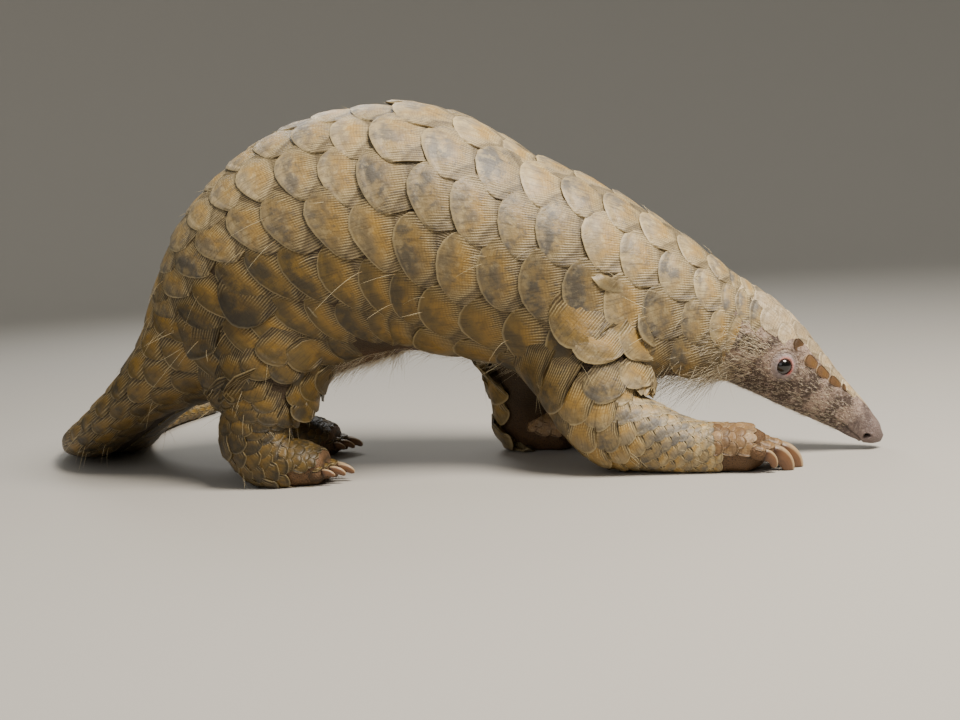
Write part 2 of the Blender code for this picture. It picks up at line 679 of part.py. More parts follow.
def carve_head(body, spine, tools):
    """Cut the eye sockets, the cups of the ears, the nostrils and the mouth."""
    for side in (1, -1):
        here, out, ahead, across = head_axes(spine, EYE_PLACE, side)
        ball("socket", here - out * EYE_DEPTH, (EYE_RADIUS + GAP,) * 3, axes_matrix(ahead, out, across),
             tools, 10, 7)
        here, out, ahead, across = head_axes(spine, EAR_PLACE, side)
        share, cup_out, cup_ahead = EAR_CUP
        cup = tuple(share * radius for radius in EAR_RADII)
        ball("cup", here + out * cup_out + ahead * cup_ahead, cup, axes_matrix(ahead, out, across),
             tools, 10, 6)
        here, out, ahead, across = head_axes(spine, NOSTRIL_PLACE, side)
        cut_out, cut_ahead = NOSTRIL_OFFSET
        ball("nostril", here + out * cut_out + ahead * cut_ahead, NOSTRIL_RADII,
             axes_matrix(ahead, out, across), tools, 8, 6)
    tube("mouth", mouth_points(spine, 0.0, MOUTH_LIFT), MOUTH_CUT, tools)
    for tool in list(tools.objects):
        boolean(body, "DIFFERENCE", tool)
        bpy.data.objects.remove(tool, do_unlink=True)


def limb_cells():
    """The cells of the legs, from the feet up."""
    return [
        straight_cell("forepaw_right", (0.176, -0.092, -0.02), (0.245, -0.030, 0.048)),
        straight_cell("forearm_right", (0.112, -0.100, -0.02), (0.176, -0.024, 0.055)),
        limb_cell("foreleg_right", -1, (0.014, 0.056), (0.088, 0.118), 0.026, 0.130),
        straight_cell("forepaw_left", (0.046, 0.018, -0.02), (0.110, 0.086, 0.046)),
        straight_cell("forearm_left", (0.000, 0.014, -0.02), (0.062, 0.090, 0.046)),
        limb_cell("foreleg_left", 1, (0.012, 0.062), (0.088, 0.120), -0.012, 0.086),
        straight_cell("hindfoot_right", (-0.200, -0.100, -0.02), (-0.070, -0.020, 0.026)),
        straight_cell("shank_right", (-0.206, -0.100, 0.026), (-0.108, -0.020, 0.074)),
        limb_cell("hindleg_right", -1, (0.012, 0.066), (0.100, 0.148), -0.206, -0.094),
        straight_cell("hindfoot_left", (-0.220, 0.020, -0.02), (-0.090, 0.100, 0.026)),
        straight_cell("shank_left", (-0.226, 0.020, 0.026), (-0.128, 0.100, 0.074)),
        limb_cell("hindleg_left", 1, (0.012, 0.066), (0.100, 0.148), -0.220, -0.106),
    ]


# The body's cuts: node, distance along the spine course, and towards snout (-1) or tail (1)
BODY_CUTS = [
    ("tail_tip", 0.870, 1),
    ("tail_end", 0.745, 1),
    ("tail_middle", 0.655, 1),
    ("tail_base", 0.575, 1),
    ("head", 0.136, -1),
    ("neck", 0.205, -1),
    ("chest", 0.300, -1),
    ("rump", 0.455, 1),
]
EAR_CELL = (0.017, 0.018, 0.025)   # along the head, outward and across
EAR_CELL_DEPTH = 0.0040


def ear_cell(spine, side):
    """The cell of an ear: a little block of the head that carries the fold."""
    here, out, ahead, across = head_axes(spine, EAR_PLACE, side)
    centre = here + out * (EAR_CELL[1] / 2 - EAR_CELL_DEPTH)
    name = "ear_right" if side > 0 else "ear_left"
    return Cell(name, centre, Vector(EAR_CELL), axes_matrix(ahead, out, across))


def add_eyes(spine, parts):
    eyes = []
    for side, name in ((1, "eye_right"), (-1, "eye_left")):
        here, out, ahead, across = head_axes(spine, EYE_PLACE, side)
        eyes.append(ball(name, here - out * EYE_DEPTH, (EYE_RADIUS,) * 3, axes_matrix(ahead, out, across),
                         parts, 10, 7))
    return eyes


def add_claws(parts):
    """Five claws on each foot."""
    claws = []
    for foot_name, foot in FEET.items():
        for number in range(len(foot.spread)):
            claws.append(claw("claw_" + foot_name + "_" + str(number + 1), foot, number, parts))
    return claws


def trim_floor(objects, tools):
    """Cut the soles, claw tips and tail flat at the floor."""
    floor = block("floor", (0.0, 0.0, -FLOOR_SLAB / 2), (2.0, 2.0, FLOOR_SLAB), WORLD_AXES, tools)
    for obj in objects:
        if min(v.co.z for v in obj.data.vertices) < 0.0:
            boolean(obj, "DIFFERENCE", floor)
    bpy.data.objects.remove(floor, do_unlink=True)


def centre_on_floor(objects):
    """Move everything so that the origin is under the middle of the whole box."""
    corners = np.array([v.co[:] for obj in objects for v in obj.data.vertices])
    middle = (corners.min(axis=0) + corners.max(axis=0)) / 2
    for obj in objects:
        obj.data.transform(Matrix.Translation((-middle[0], -middle[1], 0.0)))


def main():
    clear_scene()
    parts = new_collection("pangolin")
    tools = new_collection("cutters")
    spine = Course(SPINE)
    legs = {
        "foreleg_right": (Course(RIGHT_FORELEG, (1, 0, 0)), -90.0, 0.055, FORELEG_SPACING),
        "foreleg_left": (Course(LEFT_FORELEG, (1, 0, 0)), 90.0, 0.055, FORELEG_SPACING),
        "hindleg_right": (Course(RIGHT_HINDLEG, (1, 0, 0)), -90.0, 0.060, HINDLEG_SPACING),
        "hindleg_left": (Course(LEFT_HINDLEG, (1, 0, 0)), 90.0, 0.060, HINDLEG_SPACING),
    }
    body = build_body(spine, legs, parts)
    carve_head(body, spine, tools)
    trim_floor([body], tools)
    for cell in limb_cells() + [ear_cell(spine, 1), ear_cell(spine, -1)]:
        part_off(body, cell, parts, tools)
    for name, along, direction in BODY_CUTS:
        part_off(body, end_cell(name, spine, along, direction), parts, tools)
    body.name = "torso"
    keep_largest(body)
    claws = add_claws(parts)
    trim_floor(claws, tools)
    eyes = add_eyes(spine, parts)
    for obj in parts.objects:
        look = EYE_DARK if obj in eyes else CLAW_HORN if obj in claws else SCALE_TAN
        look = SKIN_BROWN if obj.name.startswith("ear") else look
        obj.data.materials.clear()
        obj.data.materials.append(material_for(obj.name, look))
    centre_on_floor(list(parts.objects))


if __name__ == "__main__":
    main()
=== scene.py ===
"""A life-size Indian pangolin on its walk, with horn scales, bare face, bristles and digging claws."""
import logging
import math
from dataclasses import dataclass, field, replace
from enum import Enum
from functools import cache
from typing import Iterator

import bmesh
import bpy
import numpy as np
from mathutils import Matrix, Vector
from mathutils.bvhtree import BVHTree
from mathutils.kdtree import KDTree


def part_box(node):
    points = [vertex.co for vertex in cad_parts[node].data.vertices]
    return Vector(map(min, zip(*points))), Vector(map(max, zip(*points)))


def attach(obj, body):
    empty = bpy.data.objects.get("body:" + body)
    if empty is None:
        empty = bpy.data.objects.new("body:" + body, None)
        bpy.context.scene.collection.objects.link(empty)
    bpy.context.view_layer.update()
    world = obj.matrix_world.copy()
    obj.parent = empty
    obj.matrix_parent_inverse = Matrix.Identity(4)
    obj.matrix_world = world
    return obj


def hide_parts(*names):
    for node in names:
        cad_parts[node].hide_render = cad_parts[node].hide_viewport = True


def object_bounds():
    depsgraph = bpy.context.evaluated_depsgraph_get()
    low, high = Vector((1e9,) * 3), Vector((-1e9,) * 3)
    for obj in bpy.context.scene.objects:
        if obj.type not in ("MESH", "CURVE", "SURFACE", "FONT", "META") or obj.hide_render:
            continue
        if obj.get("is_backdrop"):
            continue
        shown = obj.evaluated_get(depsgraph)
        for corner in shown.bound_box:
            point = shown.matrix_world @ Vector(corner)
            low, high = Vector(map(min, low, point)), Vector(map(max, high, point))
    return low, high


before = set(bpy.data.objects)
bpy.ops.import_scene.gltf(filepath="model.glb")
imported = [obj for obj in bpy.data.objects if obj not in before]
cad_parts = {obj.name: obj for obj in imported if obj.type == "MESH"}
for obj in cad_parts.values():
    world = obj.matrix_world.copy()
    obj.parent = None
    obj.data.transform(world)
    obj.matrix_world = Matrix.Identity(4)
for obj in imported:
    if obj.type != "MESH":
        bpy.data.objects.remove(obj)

LOG = logging.getLogger("pangolin")
CAD_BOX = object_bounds()
MM = 0.001
SEED = 11
FULL_TURN = 360.0
FLOOR_LEVEL = 0.0004     # soles and low scales stay this far above the floor


# Forms of the body

@dataclass(frozen=True)
class Ring:
    """One cross-section: its centre, its reach to the sides, up and down, and its shape."""

    x: float
    y: float
    z: float
    wide: float
    up: float
    down: float
    power: float = 2.1
    twist: float = 0.0


SPINE = [Ring(*row) for row in (
    (0.2900, 0.000, 0.0072, 0.0028, 0.0030, 0.0030),
    (0.2862, 0.000, 0.0092, 0.0066, 0.0070, 0.0064),
    (0.2770, 0.000, 0.0165, 0.0098, 0.0115, 0.0112),
    (0.2650, 0.000, 0.0275, 0.0128, 0.0155, 0.0148),
    (0.2500, 0.000, 0.0395, 0.0172, 0.0195, 0.0188),
    (0.2320, 0.000, 0.0550, 0.0240, 0.0255, 0.0250),
    (0.2120, 0.000, 0.0725, 0.0305, 0.0315, 0.0310),
    (0.1920, 0.000, 0.0865, 0.0340, 0.0360, 0.0350),
    (0.1640, 0.000, 0.0985, 0.0415, 0.0445, 0.0425, 2.1, 2.0),
    (0.1280, 0.000, 0.1125, 0.0505, 0.0565, 0.0545, 2.1, 6.0),
    (0.0850, 0.000, 0.1275, 0.0600, 0.0700, 0.0640, 2.1, 10.0),
    (0.0190, 0.000, 0.1500, 0.0700, 0.0820, 0.0740, 2.1, 13.0),
    (-0.0540, 0.000, 0.1745, 0.0790, 0.0935, 0.0900, 2.1, 11.0),
    (-0.1180, 0.000, 0.1660, 0.0820, 0.0900, 0.0920, 2.1, 4.0),
    (-0.1650, 0.000, 0.1420, 0.0760, 0.0760, 0.0860, 2.1, -3.0),
    (-0.1980, 0.003, 0.1150, 0.0640, 0.0570, 0.0680, 2.1, -5.0),
    (-0.2260, 0.008, 0.0890, 0.0520, 0.0360, 0.0400, 2.2, -4.0),
    (-0.2560, 0.018, 0.0650, 0.0460, 0.0240, 0.0210, 2.4, 0.0),
    (-0.2860, 0.034, 0.0430, 0.0430, 0.0205, 0.0150, 2.4, 4.0),
    (-0.3140, 0.058, 0.0250, 0.0400, 0.0180, 0.0130, 2.4, 4.0),
    (-0.3360, 0.092, 0.0145, 0.0375, 0.0155, 0.0120, 2.4, 0.0),
    (-0.3500, 0.132, 0.0115, 0.0345, 0.0140, 0.0118, 2.4, 0.0),
    (-0.3570, 0.176, 0.0105, 0.0305, 0.0125, 0.0110, 2.4, 0.0),
    (-0.3570, 0.221, 0.0095, 0.0255, 0.0108, 0.0100, 2.3, 0.0),
    (-0.3500, 0.266, 0.0085, 0.0200, 0.0090, 0.0088, 2.2, 0.0),
    (-0.3380, 0.306, 0.0072, 0.0140, 0.0070, 0.0074, 2.2, 0.0),
    (-0.3280, 0.330, 0.0058, 0.0075, 0.0050, 0.0048, 2.1, 0.0),
    (-0.3220, 0.341, 0.0048, 0.0025, 0.0025, 0.0025, 2.0, 0.0),
)]
RIGHT_FORELEG = [Ring(*row) for row in (
    (0.0720, -0.018, 0.1200, 0.0290, 0.034, 0.034),
    (0.0780, -0.032, 0.0920, 0.0370, 0.043, 0.040),
    (0.0850, -0.046, 0.0600, 0.0310, 0.038, 0.032),
    (0.1000, -0.054, 0.0350, 0.0245, 0.0280, 0.0270),
    (0.1280, -0.058, 0.0240, 0.0205, 0.0215, 0.0232),
    (0.1560, -0.060, 0.0180, 0.0180, 0.0160, 0.0202),
    (0.1780, -0.060, 0.0168, 0.0190, 0.0140, 0.0200),
    (0.1930, -0.060, 0.0162, 0.0195, 0.0130, 0.0196),
    (0.2020, -0.060, 0.0150, 0.0130, 0.0090, 0.0120),
)]
LEFT_FORELEG = [Ring(*row) for row in (
    (0.0470, 0.016, 0.1200, 0.0290, 0.036, 0.036),
    (0.0420, 0.030, 0.0920, 0.0340, 0.042, 0.040),
    (0.0350, 0.041, 0.0640, 0.0275, 0.032, 0.031),
    (0.0280, 0.047, 0.0400, 0.0215, 0.0240, 0.0250),
    (0.0300, 0.050, 0.0220, 0.0190, 0.0185, 0.0215),
    (0.0460, 0.050, 0.0165, 0.0190, 0.0140, 0.0198),
    (0.0575, 0.050, 0.0160, 0.0195, 0.0130, 0.0194),
    (0.0660, 0.050, 0.0150, 0.0130, 0.0090, 0.0120),
)]
RIGHT_HINDLEG = [Ring(*row) for row in (
    (-0.1480, -0.020, 0.1400, 0.0390, 0.052, 0.050),
    (-0.1510, -0.034, 0.1120, 0.0420, 0.050, 0.046),
    (-0.1520, -0.046, 0.0840, 0.0330, 0.038, 0.036),
    (-0.1550, -0.053, 0.0560, 0.0255, 0.0285, 0.0285),
    (-0.1560, -0.057, 0.0340, 0.0230, 0.0250, 0.0250),
    (-0.1440, -0.058, 0.0190, 0.0215, 0.0195, 0.0224),
    (-0.1240, -0.058, 0.0150, 0.0200, 0.0135, 0.0186),
    (-0.1080, -0.058, 0.0118, 0.0170, 0.0095, 0.0146),
)]
# the left hind foot stands further back in its stride than the right one
STRIDE = (0.012, 0.014, 0.017, 0.020, 0.020, 0.020, 0.020, 0.020)
LEFT_HINDLEG = [replace(ring, x=round(ring.x - back, 4), y=-ring.y) for ring, back in zip(RIGHT_HINDLEG, STRIDE)]

EYE_PLACE = (0.0910, 89.5)
EYE_DEPTH = 4.2 * MM
EYE_RADIUS = 7.2 * MM
EAR_PLACE = (0.1235, 92.0)
NOSTRIL_PLACE = (0.0113, 110.0)
MOUTH_LINE = [(0.0380, 118.0), (0.0260, 124.0), (0.0160, 134.0), (0.0110, 156.0)]

FOOT_ARC = 0.42
TOE_SHAPE = [(-1.8, 0.95, 0.65), (-0.6, 1.04, 0.85), (0.3, 1.0, 1.0), (1.0, 1.02, 1.0), (1.55, 0.86, 1.0)]
CLAW_GAP = 0.2 * MM


class Course:
    """A smooth body through a list of rings, read by distance along it and angle round it.

    Angle 0 is the ring's up side, and 90 is its own side: the animal's right
    on the spine, and its left on a leg.
    """

    def __init__(self, rings: list[Ring], shift: np.ndarray, hint_start: tuple = (0, 0, 1),
                 hint_end: tuple = (0, 0, 1)) -> None:
        """Prepare the table of rings.

        Args:
            rings: the cross-sections in order.
            shift: the move from the rings' own frame to the model's.
            hint_start: which way is up at the first ring.
            hint_end: which way is up at the last one.
        """
        rows = [[r.x, r.y, r.z, r.wide, r.up, r.down, r.power, r.twist] for r in rings]
        self.table = np.array(rows)
        self.table[:, :3] += shift
        steps = np.linalg.norm(np.diff(self.table[:, :3], axis=0), axis=1)
        self.stops = np.concatenate([[0.0], np.cumsum(steps)])
        self.length = float(self.stops[-1])
        self.hints = np.array([hint_start, hint_end], float)
        secants = np.diff(self.table, axis=0) / steps[:, None]
        before = steps[:-1, None]
        after = steps[1:, None]
        self.slopes = np.empty_like(self.table)
        self.slopes[0] = secants[0]
        self.slopes[-1] = secants[-1]
        self.slopes[1:-1] = (secants[:-1] * after + secants[1:] * before) / (before + after)

    def read(self, along: np.ndarray) -> np.ndarray:
        """Give the ring values at some distances along the body.

        Args:
            along: the distances.

        Returns:
            One row of ring values for each.
        """
        along = np.clip(np.atleast_1d(along), 0.0, self.length)
        left = np.clip(np.searchsorted(self.stops, along, side="right") - 1, 0, len(self.stops) - 2)
        step = (self.stops[left + 1] - self.stops[left])[:, None]
        t = (along - self.stops[left])[:, None] / step
        keep = (1 + 2 * t) * (1 - t) ** 2
        gain = t * t * (3 - 2 * t)
        lead = t * (1 - t) ** 2 * step
        tail = t * t * (t - 1) * step
        return (keep * self.table[left] + gain * self.table[left + 1]
                + lead * self.slopes[left] + tail * self.slopes[left + 1])

    def axes(self, along: np.ndarray) -> tuple[np.ndarray, np.ndarray, np.ndarray, np.ndarray]:
        """Give the ring values with the directions ahead, to the side and up.

        Args:
            along: distances along the body.

        Returns:
            The ring values and the three directions at each.
        """
        along = np.clip(np.atleast_1d(along), 0.0, self.length)
        values = self.read(along)
        reach = 0.0005
        ahead = self.read(along + reach)[:, :3] - self.read(along - reach)[:, :3]
        ahead /= np.linalg.norm(ahead, axis=1)[:, None]
        share = (along / self.length)[:, None]
        hint = self.hints[0] * (1 - share) + self.hints[1] * share
        side = np.cross(hint, ahead)
        side /= np.linalg.norm(side, axis=1)[:, None]
        up = np.cross(ahead, side)
        turn = np.radians(values[:, 7])[:, None]
        turned_up = up * np.cos(turn) + side * np.sin(turn)
        turned_side = side * np.cos(turn) - up * np.sin(turn)
        return values, ahead, turned_side, turned_up

    def skin(self, along: np.ndarray, angle: np.ndarray) -> np.ndarray:
        """Give points on the surface.

        Args:
            along: distances along the body.
            angle: angles round it.

        Returns:
            The points.
        """
        values, _, side, up = self.axes(along)
        turn = np.radians(np.atleast_1d(angle))
        bend = 2.0 / values[:, 6]
        across = np.sign(np.sin(turn)) * np.abs(np.sin(turn)) ** bend * values[:, 3]
        height = np.where(np.cos(turn) >= 0, values[:, 4], values[:, 5])
        rise = np.sign(np.cos(turn)) * np.abs(np.cos(turn)) ** bend * height
        return values[:, :3] + side * across[:, None] + up * rise[:, None]

    def normal(self, along: np.ndarray, angle: np.ndarray) -> np.ndarray:
        """Give the outward directions of the surface.

        Args:
            along: distances along the body.
            angle: angles round it.

        Returns:
            The unit directions.
        """
        along_step = 0.001
        angle_step = 1.5
        place = self.skin(along, angle)
        run = self.skin(along + along_step, angle) - self.skin(along - along_step, angle)
        turn = self.skin(along, angle + angle_step) - self.skin(along, angle - angle_step)
        normal = np.cross(turn, run)
        normal /= np.maximum(np.linalg.norm(normal, axis=1), 1e-9)[:, None]
        outward = place - self.read(along)[:, :3]
        return normal * np.sign(np.sum(normal * outward, axis=1))[:, None]

    def point(self, along: np.ndarray, angle: np.ndarray, lift: np.ndarray | float = 0.0) -> np.ndarray:
        """Give points lifted off the surface along its normal.

        Args:
            along: distances along the body.
            angle: angles round it.
            lift: how far each is lifted.

        Returns:
            The points.
        """
        along = np.clip(np.atleast_1d(along).astype(float), 0.0, self.length)
        angle = np.atleast_1d(angle).astype(float)
        lift = np.atleast_1d(lift)[:, None]
        return self.skin(along, angle) + self.normal(along, angle) * lift

    def heading(self, along: np.ndarray, angle: np.ndarray) -> np.ndarray:
        """Give the unit directions along the surface towards the course's end."""
        ahead = self.skin(along + 0.002, angle) - self.skin(along - 0.002, angle)
        return ahead / np.linalg.norm(ahead, axis=1)[:, None]

    @staticmethod
    def loft(stations: np.ndarray, angles: np.ndarray) -> tuple[np.ndarray, np.ndarray, list]:
        """Give the grid of a closed loft.

        Args:
            stations: the distances of its rings.
            angles: the angles of its sides.

        Returns:
            The distance and the angle of every vertex on the surface, and the faces with end fans
            round the two vertices that come after them.
        """
        rows = len(stations)
        sides = len(angles)
        i, j = (part.ravel() for part in np.meshgrid(np.arange(rows - 1), np.arange(sides), indexing="ij"))
        k = (j + 1) % sides
        quads = np.stack([i * sides + j, i * sides + k, (i + 1) * sides + k, (i + 1) * sides + j], 1)
        j = np.arange(sides)
        k = (j + 1) % sides
        last = (rows - 1) * sides
        start_fan = np.stack([k, j, np.full(sides, rows * sides)], 1)
        end_fan = np.stack([last + j, last + k, np.full(sides, rows * sides + 1)], 1)
        return np.repeat(stations, sides), np.tile(angles, rows), [quads, start_fan, end_fan]

    def closed(self, points: np.ndarray) -> np.ndarray:
        """Add the middles of the two ends to a loft's points."""
        return np.vstack([points, self.read(np.array([0.0, self.length]))[:, :3]])


@dataclass
class Spot:
    """A place on the head with its directions: out of the skin, towards the snout, and up."""

    here: np.ndarray
    out: np.ndarray
    ahead: np.ndarray
    up: np.ndarray

    @classmethod
    def on(cls, course: Course, place: tuple[float, float], side: int) -> "Spot":
        """Find a spot.

        Args:
            course: the body.
            place: the distance along it and the angle from the back.
            side: 1 for the right side, -1 for the left.

        Returns:
            The spot.
        """
        along = np.array([place[0]])
        angle = np.array([side * place[1]])
        here = course.point(along, angle)[0]
        out = course.normal(along, angle)[0]
        ahead = course.point(along - 0.002, angle)[0] - here
        ahead -= ahead.dot(out) * out
        ahead /= np.linalg.norm(ahead)
        return cls(here, out, ahead, np.cross(out, ahead) * side)

    def flat(self, points: np.ndarray) -> tuple[np.ndarray, np.ndarray, np.ndarray]:
        """Give points as distances ahead, up and out from the spot."""
        gap = points - self.here
        return gap @ self.ahead, gap @ self.up, gap @ self.out


def find_shift() -> np.ndarray:
    """Find the move from the rings' own frame to the model's, from the right eye's place.

    Returns:
        The move.
    """
    spot = Spot.on(Course(SPINE, np.zeros(3)), EYE_PLACE, 1)
    low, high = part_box("eye_right")
    return np.array((low + high) / 2) - (spot.here - spot.out * EYE_DEPTH)


SHIFT = find_shift()
SPINE_COURSE = Course(SPINE, SHIFT)


@dataclass
class Limb:
    """One leg: its course, its outer side's angle, its row on the bake map and its foot's length."""

    name: str
    course: Course
    outer: float
    map_row: int
    bare_from: float = 0.026


LIMBS = [
    Limb("foreleg_right", Course(RIGHT_FORELEG, SHIFT, (1, 0, 0)), -90.0, 0),
    Limb("foreleg_left", Course(LEFT_FORELEG, SHIFT, (1, 0, 0)), 90.0, 1),
    Limb("hindleg_right", Course(RIGHT_HINDLEG, SHIFT, (1, 0, 0)), -90.0, 2, 0.022),
    Limb("hindleg_left", Course(LEFT_HINDLEG, SHIFT, (1, 0, 0)), 90.0, 3, 0.022),
]


# Meshes and maps

BAKE_MAP = "OFBake"
BLADE_MAP = "Blade"
TUFT_PATCH = 0.003
HIDE_TRAITS = ("lid", "corner", "haze", "pit", "nose", "face", "belly", "cap")


def spine_map(along: np.ndarray, angle: np.ndarray) -> np.ndarray:
    """Place points of the body, at angles from -180 to 180, in the upper part of the bake map."""
    share = np.clip(along / SPINE_COURSE.length, 0, 1)
    return np.stack([0.01 + 0.98 * share, 0.30 + 0.68 * (angle + 180.0) / FULL_TURN], axis=-1)


def limb_map(limb: Limb, along: np.ndarray, angle: np.ndarray) -> np.ndarray:
    """Place points of a leg, at angles from -180 to 180, in its own quarter of the map's lower part."""
    u = 0.25 * limb.map_row + 0.01 + 0.23 * np.clip(along / limb.course.length, 0, 1)
    return np.stack([u, 0.01 + 0.27 * (angle + 180.0) / FULL_TURN], axis=-1)


@dataclass
class Sheets:
    """Vertices, faces, maps and attributes gathered for one mesh."""

    points: list = field(default_factory=list)
    faces: list = field(default_factory=list)
    maps: dict = field(default_factory=dict)
    traits: dict = field(default_factory=dict)
    count: int = 0

    def add(self, points: np.ndarray, faces: list, maps: dict, traits: dict) -> None:
        """Add a piece.

        Args:
            points: its vertices.
            faces: arrays of its faces, each with one number of corners.
            maps: for each map's name, one array of corner places for each array of faces.
            traits: for each attribute's name, one value a vertex.
        """
        self.points.append(points)
        self.faces.extend(part + self.count for part in faces)
        for name, parts in maps.items():
            self.maps.setdefault(name, []).extend(parts)
        for name, values in traits.items():
            values = np.broadcast_to(values, len(points))
            self.traits.setdefault(name, []).append(values)
        self.count += len(points)

    def build(self, name: str, smooth_angle: float | None = None) -> bpy.types.Object:
        """Make the object.

        Args:
            name: its name.
            smooth_angle: the angle in degrees over which an edge stays sharp.

        Returns:
            The new object, at the origin.
        """
        mesh = bpy.data.meshes.new(name)
        points = np.concatenate(self.points)
        sizes = np.concatenate([np.full(len(part), part.shape[1]) for part in self.faces])
        corners = np.concatenate([part.ravel() for part in self.faces])
        mesh.vertices.add(len(points))
        mesh.vertices.foreach_set("co", points.astype(np.float32).ravel())
        mesh.loops.add(len(corners))
        mesh.loops.foreach_set("vertex_index", corners.astype(np.int32))
        mesh.polygons.add(len(sizes))
        starts = np.concatenate([[0], np.cumsum(sizes)[:-1]])
        mesh.polygons.foreach_set("loop_start", starts.astype(np.int32))
        for map_name, parts in self.maps.items():
            layer = mesh.uv_layers.new(name=map_name)
            places = np.concatenate([np.asarray(part).reshape(-1, 2) for part in parts])
            layer.data.foreach_set("uv", places.astype(np.float32).ravel())
        for trait, parts in self.traits.items():
            layer = mesh.attributes.new(trait, "FLOAT", "POINT")
            layer.data.foreach_set("value", np.concatenate(parts).astype(np.float32))
        mesh.update(calc_edges=True)
        mesh.validate()
        mesh.shade_smooth()
        if smooth_angle is not None:
            mesh.set_sharp_from_angle(angle=math.radians(smooth_angle))
        piece = bpy.data.objects.new(name, mesh)
        bpy.context.scene.collection.objects.link(piece)
        return piece


def turns(sides: int) -> np.ndarray:
    """Give the angles of a number of equal sides."""
    return np.arange(sides) * (FULL_TURN / sides)


def corner_places(faces: list, stations: np.ndarray, angles: np.ndarray) -> Iterator[tuple]:
    """Give the row and the angle of every face corner of a closed loft.

    Args:
        faces: the arrays that Course.loft gives.
        stations: the loft's distances.
        angles: its angles.

    Yields:
        For each array of faces, the rows and the angles of its corners.
    """
    sides = len(angles)
    for part in faces:
        row = np.minimum(part // sides, len(stations) - 1)
        column = part % sides
        last = (column.max(axis=1) == sides - 1) & (column.min(axis=1) == 0)
        yield row, np.where(last[:, None] & (column == 0), FULL_TURN, angles[column])


def faces_out(piece: bpy.types.Object) -> None:
    """Turn every face of a closed mesh outwards.

    Args:
        piece: its object.
    """
    work = bmesh.new()
    work.from_mesh(piece.data)
    bmesh.ops.recalc_face_normals(work, faces=work.faces)
    work.to_mesh(piece.data)
    work.free()


# Finishes

def linear(text: str) -> tuple[float, float, float, float]:
    """Turn an sRGB colour, #rrggbb, to linear light with full cover."""
    shares = [int(text[i:i + 2], 16) / 255 for i in (1, 3, 5)]
    return (*(c / 12.92 if c <= 0.04045 else ((c + 0.055) / 1.055) ** 2.4 for c in shares), 1.0)


ABSOLUTE = ("Math", {"operation": "ABSOLUTE"})
ADD = ("Math", {"operation": "ADD"})
DIVIDE = ("Math", {"operation": "DIVIDE"})
MAXIMUM = ("Math", {"operation": "MAXIMUM"})
MULTIPLY = ("Math", {"operation": "MULTIPLY"})
MULTIPLY_ADD = ("Math", {"operation": "MULTIPLY_ADD"})
SINE = ("Math", {"operation": "SINE"})
SUBTRACT = ("Math", {"operation": "SUBTRACT"})
BLEND = ("Mix", {"data_type": "RGBA"})
RAMP = ("MapRange", {"interpolation_type": "SMOOTHSTEP"})
CREASES = ("TexVoronoi", {"feature": "DISTANCE_TO_EDGE"})
BLADE = ("UVMap", {"uv_map": BLADE_MAP})


class Finish:
    """A material under construction, with a short way to add a node with its settings and links."""

    def __init__(self, name: str) -> None:
        """Start a material with only its output.

        Args:
            name: the material's name.
        """
        self.material = bpy.data.materials.new(name)
        self.material.use_nodes = True
        self.tree = self.material.node_tree
        self.tree.nodes.clear()
        self.output = self.tree.nodes.new("ShaderNodeOutputMaterial")

    def add(self, kind: str | tuple[str, dict], *inputs: object, **named: object) -> bpy.types.Node:
        """Add a node.

        Args:
            kind: the node's type without the leading ShaderNode, or that with its properties.
            inputs: what feeds its inputs in use, in order: a value, a colour, a node (its first
                output in use) or a node's output.
            named: the same for inputs by name, with _ for a space.

        Returns:
            The node.
        """
        name, settings = (kind, {}) if isinstance(kind, str) else kind
        node = self.tree.nodes.new("ShaderNode" + name)
        for key, value in settings.items():
            setattr(node, key, value)
        used = (socket for socket in node.inputs if socket.enabled)
        fed = list(zip(used, inputs)) + [(node.inputs[key.replace("_", " ")], value) for key, value in named.items()]
        for socket, value in fed:
            if isinstance(value, bpy.types.Node):
                value = next(output for output in value.outputs if output.enabled)
            if isinstance(value, bpy.types.NodeSocket):
                self.tree.links.new(value, socket)
            else:
                socket.default_value = linear(value) if isinstance(value, str) else value
        return node

    def finish(self, colour: object, roughness: object, bumps: list, **named: object) -> bpy.types.Material:
        """Close the material with its shader.

        Args:
            colour: the base colour.
            roughness: the roughness.
            bumps: pairs of a height and its depth in metres, the coarsest first.
            named: further inputs of the shader.

        Returns:
            The finished material.
        """
        normal = {}
        for height, depth in bumps:
            normal = {"Normal": self.add("Bump", Height=height, Distance=depth, Strength=1.0, **normal)}
        shader = self.add("BsdfPrincipled", Base_Color=colour, Roughness=roughness, **normal, **named)
        self.tree.links.new(shader.outputs[0], self.output.inputs["Surface"])
        return self.material


